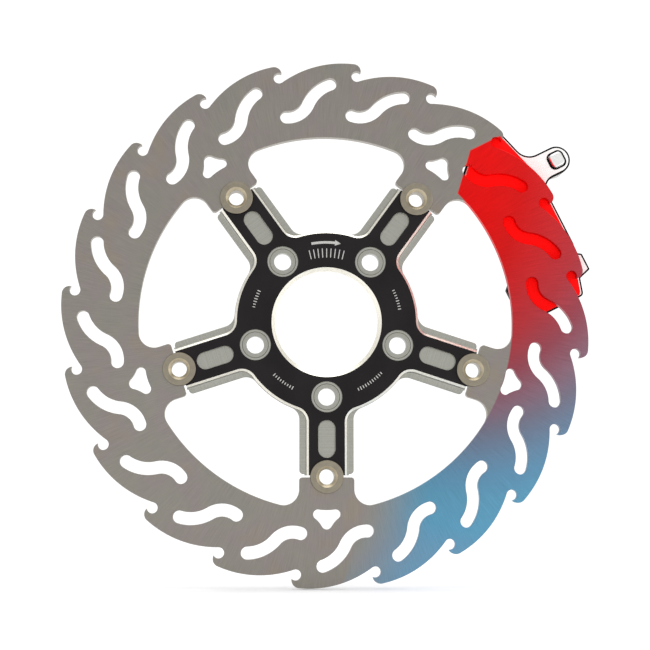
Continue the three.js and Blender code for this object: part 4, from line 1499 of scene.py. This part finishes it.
@dataclass
class BobbinSet:
    """A hollow drive pin with the wave washer, flat washer and circlip that hold it from behind."""

    finishes: Finishes
    tools: Toolbox
    arm: int
    circle: float = 85.05
    body_radius: float = 6.5
    head_radius: float = 9.1
    head_front: float = -3.85
    head_back: float = -2.85
    head_edge: float = 0.35
    bore_radius: float = 4.2
    mouth_radius: float = 5.8
    mouth_depth: float = 1.3
    groove: Point = (4.7, 6.1)
    groove_radius: float = 5.6
    tail_end: float = 6.9
    tail_chamfer: float = 0.4
    washer_inner: float = 6.8
    washer_outer: float = 9.0
    wave_middle: float = 3.2
    wave_thickness: float = 0.3
    wave_swing: float = 0.25
    waves: int = 3
    flat: Point = (3.9, 4.7)
    clip: Point = (5.0, 5.8)
    clip_inner: float = 5.9
    clip_width: float = 1.9
    clip_gap: float = math.radians(46)
    ear_radius: float = 1.5
    eye_radius: float = 0.65

    @property
    def direction(self) -> float:
        """Direction of this bobbin's arm."""
        return 1.5 * math.pi - TURN * (self.arm - 1) / 5

    @property
    def centre(self) -> Point:
        """The bobbin's centre across the axle."""
        return polar(self.circle, self.direction)

    def bobbin(self) -> bpy.types.Object:
        """The hollow headed pin."""
        front, edge, tail = self.head_front, self.head_edge, self.tail_end
        body, groove = self.body_radius, self.groove_radius
        corner = 0.12
        section = [
            # slot 1, the countersink cone and its rim, takes the lighter steel of the painted highlight
            (self.mouth_radius, front + 0.1, 1), (self.mouth_radius + 0.1, front, 0),
            (self.head_radius - edge, front, 0), (self.head_radius - 0.3 * edge, front + 0.3 * edge, 0),
            (self.head_radius, front + edge, 0), (self.head_radius, self.head_back - corner, 0),
            (self.head_radius - corner, self.head_back, 0), (body, self.head_back, 0),
            (body, self.groove[0], 0), (groove, self.groove[0], 0), (groove, self.groove[1], 0),
            (body, self.groove[1], 0), (body, tail - self.tail_chamfer, 0),
            (body - self.tail_chamfer, tail, 0), (self.bore_radius + 0.25, tail, 0),
            (self.bore_radius, tail - 0.25, 0), (self.bore_radius, front + self.mouth_depth + 0.1, 0),
            (self.bore_radius + 0.1, front + self.mouth_depth, 1),
        ]
        return turning(f"bobbin_{self.arm}_pin", section, 96,
                       [self.finishes.bobbin, self.finishes.mouth_highlight], self.centre)

    def ring(self, name: str, front: float, back: float, material: Any,
             lift: Callable[[float], float] | None = None) -> bpy.types.Object:
        """A washer with rounded edges.

        Args:
            name: the piece's name.
            front: its front face, along the axle.
            back: its back face.
            material: its finish.
            lift: how far it waves along the axle at each angle, if it does.

        Returns:
            The washer's object.
        """
        inner, outer = self.washer_inner, self.washer_outer
        soft = (back - front) / 5
        section = [
            (inner, front + soft, 0), (inner + soft, front, 0), (outer - soft, front, 0),
            (outer, front + soft, 0), (outer, back - soft, 0), (outer - soft, back, 0),
            (inner + soft, back, 0), (inner, back - soft, 0),
        ]
        return turning(name, section, 96, [material], self.centre, lift)

    def circlip(self) -> bpy.types.Object:
        """An open ring that ends in two eyed ears, pointing outwards along the arm."""
        front, back = self.clip
        inner, outer = self.clip_inner, self.clip_inner + self.clip_width
        start = math.pi / 2 + self.clip_gap / 2
        end = start + TURN - self.clip_gap
        soft, metal = 0.12, self.finishes.phosphate
        levels = [(front, soft), (front + soft, 0.0), (back - soft, 0.0), (back, soft)]

        def placed(loop: Loop) -> Loop:
            """Turns a loop from upright to the arm's direction and sets it at the bobbin."""
            cx, cz = self.centre
            return [(x + cx, z + cz) for x, z in spun(loop, self.direction - math.pi / 2)]

        ear, axle = self.ear_radius, (0.0, 0.0)
        first, last = polar(inner + ear, start), polar(inner + ear, end)
        leave, meet = crossing(axle, outer, first, ear), crossing(last, ear, axle, outer)
        low = heading(axle, leave)
        turn = heading(last, meet)
        outline = joined(
            arc(axle, outer, low, at_least(heading(axle, meet), low)),
            arc(last, ear, turn, at_least(end + math.pi, turn)),
            arc(axle, inner, end, start),
            arc(first, ear, start + math.pi, at_least(heading(first, leave), start + math.pi)),
        )
        eyes = [placed(arc(at, self.eye_radius, 0, TURN)[1:]) for at in (first, last)]
        return self.tools.plate(f"circlip_{self.arm}_ring", placed(outline), eyes, levels, metal, metal)

    def build(self) -> None:
        """Makes the four pieces of the set."""
        body, n = f"bobbin_{self.arm}", self.arm
        finished(self.bobbin(), body, "bobbin_steel", f"bobbin_{n}")
        half = self.wave_thickness / 2
        wave = self.ring(f"wave_washer_{n}_ring", self.wave_middle - half, self.wave_middle + half,
                         self.finishes.spring, lambda a: self.wave_swing * math.cos(self.waves * a))
        finished(wave, body, "spring_steel", f"wave_washer_{n}")
        flat = self.ring(f"flat_washer_{n}_ring", *self.flat, self.finishes.zinc)
        finished(flat, body, "washer_steel", f"flat_washer_{n}")
        finished(self.circlip(), body, "circlip_steel", f"circlip_{n}")


# ------------------------------------------------------------------------------- pad


@dataclass
class BrakePad:
    """The pad: enamelled backing plate, red lining, and the shim that the pistons press on."""

    finishes: Finishes
    tools: Toolbox
    direction: float = math.radians(26.5)
    offset: float = -1.75
    half_length: float = 51.4
    crown: float = 145.9
    crown_half: float = 23.2
    shoulder: float = 137.6
    hollow_radius: float = 106.5
    rim: float = 1.0
    outer_rim: float = 2.3
    left_foot: float = 13.0
    right_foot: float = 6.2
    foot_corner: float = 2.0
    shoulder_corner: float = 2.5
    crown_corner: float = 8.0
    ear: Point = (-23.85, 159.05)
    ear_half: float = 7.8
    ear_roots: tuple[float, float] = (9.0, 7.0)
    eye_width: float = 8.2
    eye_corner: float = 2.4
    tab: tuple[float, float, float, float] = (28.0, 42.0, 1.6, 2.1)
    heel: tuple[float, float, float, float] = (25.5, 38.5, 99.5, 4.1)
    heel_left: float = -33.0
    lining: Point = (3.1, 7.3)
    plate: Point = (7.6, 12.1)
    shim: Point = (12.4, 13.0)
    drawn_edge: float = 1.0  # width of the black lacquered bevel seen from the front
    drawn_depth: float = 0.35  # depth of the same bevel
    lining_break: float = 0.35

    def placed(self, loop: Loop) -> Loop:
        """Turns an upright outline to where the pad hangs."""
        return spun([(x + self.offset, y) for x, y in loop], self.direction - math.pi / 2)

    def hollow(self, start: float, end: float, inset: float) -> list[tuple[float, float, float]]:
        """The hollow inner edge, concentric with the disc, between two places along the pad."""
        radius = self.hollow_radius + inset
        a0, a1 = (math.acos((x + self.offset) / radius) for x in (start, end))
        return [(x, y, 0.0) for x, y in arc((-self.offset, 0.0), radius, a0, a1, 0.01)]

    def shoulder_at(self, along: float) -> float:
        """Height of the sloping shoulder at a place along the pad."""
        fall = (self.crown - self.shoulder) / (self.half_length - self.crown_half)
        return self.crown - fall * (abs(along) - self.crown_half)

    def plain(self, inset: float, outer_inset: float) -> Loop:
        """The pad's plain outline drawn in by an inset, and by another along its outer edge."""
        end, low = self.half_length - inset, self.hollow_radius + inset
        crown, shoulder = self.crown - outer_inset, self.shoulder - outer_inset
        return rounded([
            (-end, low + self.left_foot, self.foot_corner),
            (-end, shoulder, self.shoulder_corner),
            (-self.crown_half, crown, self.crown_corner),
            (self.crown_half, crown, self.crown_corner),
            (end, shoulder, self.shoulder_corner),
            (end, low + self.right_foot, self.foot_corner),
            *self.hollow(self.heel[1] + inset, self.heel_left + inset, inset),
        ])

    def backing(self) -> Loop:
        """The backing plate's outline with its ear, tab and heel."""
        end, low = self.half_length, self.hollow_radius
        left, right = self.ear[0] - self.ear_half, self.ear[0] + self.ear_half
        top = self.ear[1] + self.ear_half
        tab_start, tab_end, tab_rise, tab_slant = self.tab
        heel_start, heel_end, heel_low, heel_slant = self.heel
        return rounded([
            (-end, low + self.left_foot, self.foot_corner),
            (-end, self.shoulder, self.shoulder_corner),
            (left, self.shoulder_at(left), self.ear_roots[0]),
            (left, top, self.ear_half),
            (right, top, self.ear_half),
            (right, self.crown, self.ear_roots[1]),
            (self.crown_half, self.crown, self.crown_corner),
            (tab_start, self.shoulder_at(tab_start), 0.5),
            (tab_start + tab_slant, self.crown + tab_rise, 0.8),
            (tab_end - tab_slant, self.crown + tab_rise, 0.8),
            (tab_end, self.shoulder_at(tab_end), 0.8),
            (end, self.shoulder, self.shoulder_corner),
            (end, low + self.right_foot, self.foot_corner),
            (heel_end, heel_low, 1.2),
            (heel_start + heel_slant, heel_low, 1.2),
            *self.hollow(heel_start, self.heel_left, 0.0),
        ])

    def square(self, width: float, corner: float) -> Loop:
        """A square with round corners about the ear's centre."""
        (x, y), half = self.ear, width / 2
        return rounded([(x - half, y - half, corner), (x - half, y + half, corner),
                        (x + half, y + half, corner), (x + half, y - half, corner)])

    def build(self) -> None:
        """Makes the three pieces that slide together."""
        front, back = self.plate
        line = self.drawn_edge
        plate = self.tools.plate(
            "backing_plate_body", self.placed(self.backing()),
            [self.placed(self.square(self.eye_width, self.eye_corner))],
            [(front, line), (front + self.drawn_depth, 0.0), (back - 0.3, 0.0), (back, 0.3)],
            self.finishes.enamel, self.finishes.edge)
        finished(plate, "pad", "plate_enamel", "backing_plate")
        front, back = self.lining
        lining = self.tools.plate(
            "friction_lining_block", self.placed(self.plain(self.rim, self.outer_rim)), [],
            [(front, self.lining_break), (front + self.lining_break, 0.0), (back, 0.0)],
            self.finishes.friction, self.finishes.friction)
        finished(lining, "pad", "friction_material", "friction_lining")
        front, back = self.shim
        shim = self.tools.plate(
            "insulator_shim_sheet", self.placed(self.plain(2 * self.rim, 2 * self.rim)), [],
            [(front, 0.1), (front + 0.1, 0.0), (back - 0.15, 0.0), (back, 0.15)],
            self.finishes.rubber, self.finishes.rubber)
        finished(shim, "pad", "shim_coating", "insulator_shim")


@dataclass
class GuidePin:
    """The rounded-square pin that the pad's ear slides on, with the round foot it is held by."""

    finishes: Finishes
    tools: Toolbox
    pad: BrakePad
    clearance: float = 0.3
    tip: float = 5.6
    shoulder: float = 24.0
    foot: float = 27.0
    foot_radius: float = 8.0
    chamfer: float = 0.6

    def build(self) -> None:
        """Makes the pin."""
        pad, metal = self.pad, self.finishes.polished
        square = pad.placed(pad.square(pad.eye_width - 2 * self.clearance,
                                       pad.eye_corner - self.clearance))
        shank = self.tools.plate("guide_pin", square, [], [
            (self.tip, self.chamfer), (self.tip + self.chamfer, 0.0), (self.foot - 1.0, 0.0),
        ], metal, metal)
        centre = pad.placed([pad.ear])[0]
        rim = arc(centre, self.foot_radius, 0, TURN)[1:]
        foot = self.tools.plate("foot", rim, [], [
            (self.shoulder, 0.3), (self.shoulder + 0.3, 0.0), (self.foot - 0.4, 0.0), (self.foot, 0.4),
        ], metal, metal)
        finished(combined(shank, foot, Join.UNION), "guide", "pin_steel", "pad_guide_pin")


# ------------------------------------------------------------------------------- studio


@dataclass
class Studio:
    """The pale floor, the soft light and the camera."""

    lens: float = 99.7
    place: tuple[float, float, float] = (-0.0578, -0.9874, -0.1018)
    aim: tuple[float, float, float] = (-0.00096, -0.0025, -0.00168)
    roll: float = math.radians(0.06)
    floor_drop: float = 0.0004
    floor_size: float = 12.0
    sky_strength: float = 0.6
    sky_spread: float = math.radians(60)  # wide, so that shadows on the floor stay soft
    around: float = 1.08  # strength of the light all round
    backdrop: float = 1.1  # brightness of the plain white behind the disc

    def camera(self) -> None:
        """Sets the camera in front of the disc, a little low and to the left."""
        data = bpy.data.cameras.new("camera")
        data.lens = self.lens
        data.sensor_width = 36.0
        data.clip_start, data.clip_end = 0.01, 50.0
        camera = bpy.data.objects.new("camera", data)
        bpy.context.scene.collection.objects.link(camera)
        look = Vector(self.aim) - Vector(self.place)
        turn = look.to_track_quat("-Z", "Y").to_matrix().to_4x4()
        camera.matrix_world = Matrix.Translation(self.place) @ turn @ Matrix.Rotation(-self.roll, 4, "Z")
        bpy.context.scene.camera = camera

    def floor(self, level: float) -> None:
        """Lays the pale floor under the disc.

        Args:
            level: the floor's height in metres.
        """
        half = self.floor_size / 2
        mesh = bpy.data.meshes.new("floor")
        mesh.from_pydata([(-half, -half, level), (half, -half, level), (half, half, level),
                          (-half, half, level)], [], [(0, 1, 2, 3)])
        material, _, shader = new_material("pale floor")
        shader.inputs["Base Color"].default_value = linear("fdfdfe")
        shader.inputs["Roughness"].default_value = 0.8
        mesh.materials.append(material)
        floor = bpy.data.objects.new("floor", mesh)
        bpy.context.scene.collection.objects.link(floor)
        floor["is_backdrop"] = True

    def world(self) -> None:
        """Surrounds the disc with even light, a little dimmer from above."""
        world = bpy.data.worlds.new("studio")
        world.use_nodes = True
        bpy.context.scene.world = world
        tree = world.node_tree
        told = add_node(tree, "ShaderNodeTexCoord")
        parts = add_node(tree, "ShaderNodeSeparateXYZ", {0: told.outputs["Generated"]})
        rise = add_node(tree, "ShaderNodeMapRange", {
            "Value": parts.outputs["Z"], "From Min": -1.0, "From Max": 1.0}).outputs[0]
        side = ramp(tree, rise, [(0.0, "ffffff"), (0.5, "ffffff"), (0.75, "e6e6e7"), (1.0, "f0f0f1")])
        seen = add_node(tree, "ShaderNodeLightPath")
        light = add_node(tree, "ShaderNodeBackground", {"Color": side, "Strength": self.around})
        plain = add_node(tree, "ShaderNodeBackground",
                         {"Color": (1.0, 1.0, 1.0, 1.0), "Strength": self.backdrop})
        either = add_node(tree, "ShaderNodeMixShader", {
            0: seen.outputs["Is Camera Ray"], 1: light.outputs[0], 2: plain.outputs[0]})
        tree.links.new(either.outputs[0], tree.nodes["World Output"].inputs[0])

    def lamp(self, name: str, place: tuple[float, float, float], size: float, power: float) -> None:
        """Hangs one soft square light, aimed at the disc's centre.

        Args:
            name: the light's name.
            place: where it hangs, in metres.
            size: its side in metres.
            power: its power in watts.
        """
        data = bpy.data.lights.new(name, "AREA")
        data.size = size
        data.energy = power
        lamp = bpy.data.objects.new(name, data)
        lamp.location = place
        lamp.rotation_euler = (-Vector(place)).to_track_quat("-Z", "Y").to_euler()
        bpy.context.scene.collection.objects.link(lamp)

    def skylight(self) -> None:
        """Lights the floor from straight above, so evenly that its far edge doesn't show."""
        data = bpy.data.lights.new("skylight", "SUN")
        data.energy = self.sky_strength
        data.angle = self.sky_spread
        lamp = bpy.data.objects.new("skylight", data)
        bpy.context.scene.collection.objects.link(lamp)

    def build(self, level: float) -> None:
        """Makes the camera, the floor and the light.

        Args:
            level: height of the lowest point of the object.
        """
        self.camera()
        self.floor(level - self.floor_drop)
        self.world()
        self.lamp("overhead", (0.3, -0.1, 2.2), 1.6, 10.0)
        self.lamp("right", (1.6, -0.7, 0.5), 1.0, 4.0)
        self.skylight()
        bpy.context.scene.view_settings.view_transform = "Standard"


def main() -> None:
    logging.basicConfig(level=logging.INFO, format="%(message)s", force=True)
    cad_low, cad_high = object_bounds()
    finishes, tools = Finishes(), Toolbox()
    Studio().build(cad_low.z)
    Rotor(finishes, tools).build()
    Carrier(finishes, tools).build()
    CarrierMarks(finishes, tools).build()
    for arm in range(1, 6):
        BobbinSet(finishes, tools, arm).build()
    pad = BrakePad(finishes, tools)
    pad.build()
    GuidePin(finishes, tools, pad).build()


if __name__ == "__main__":
    main()
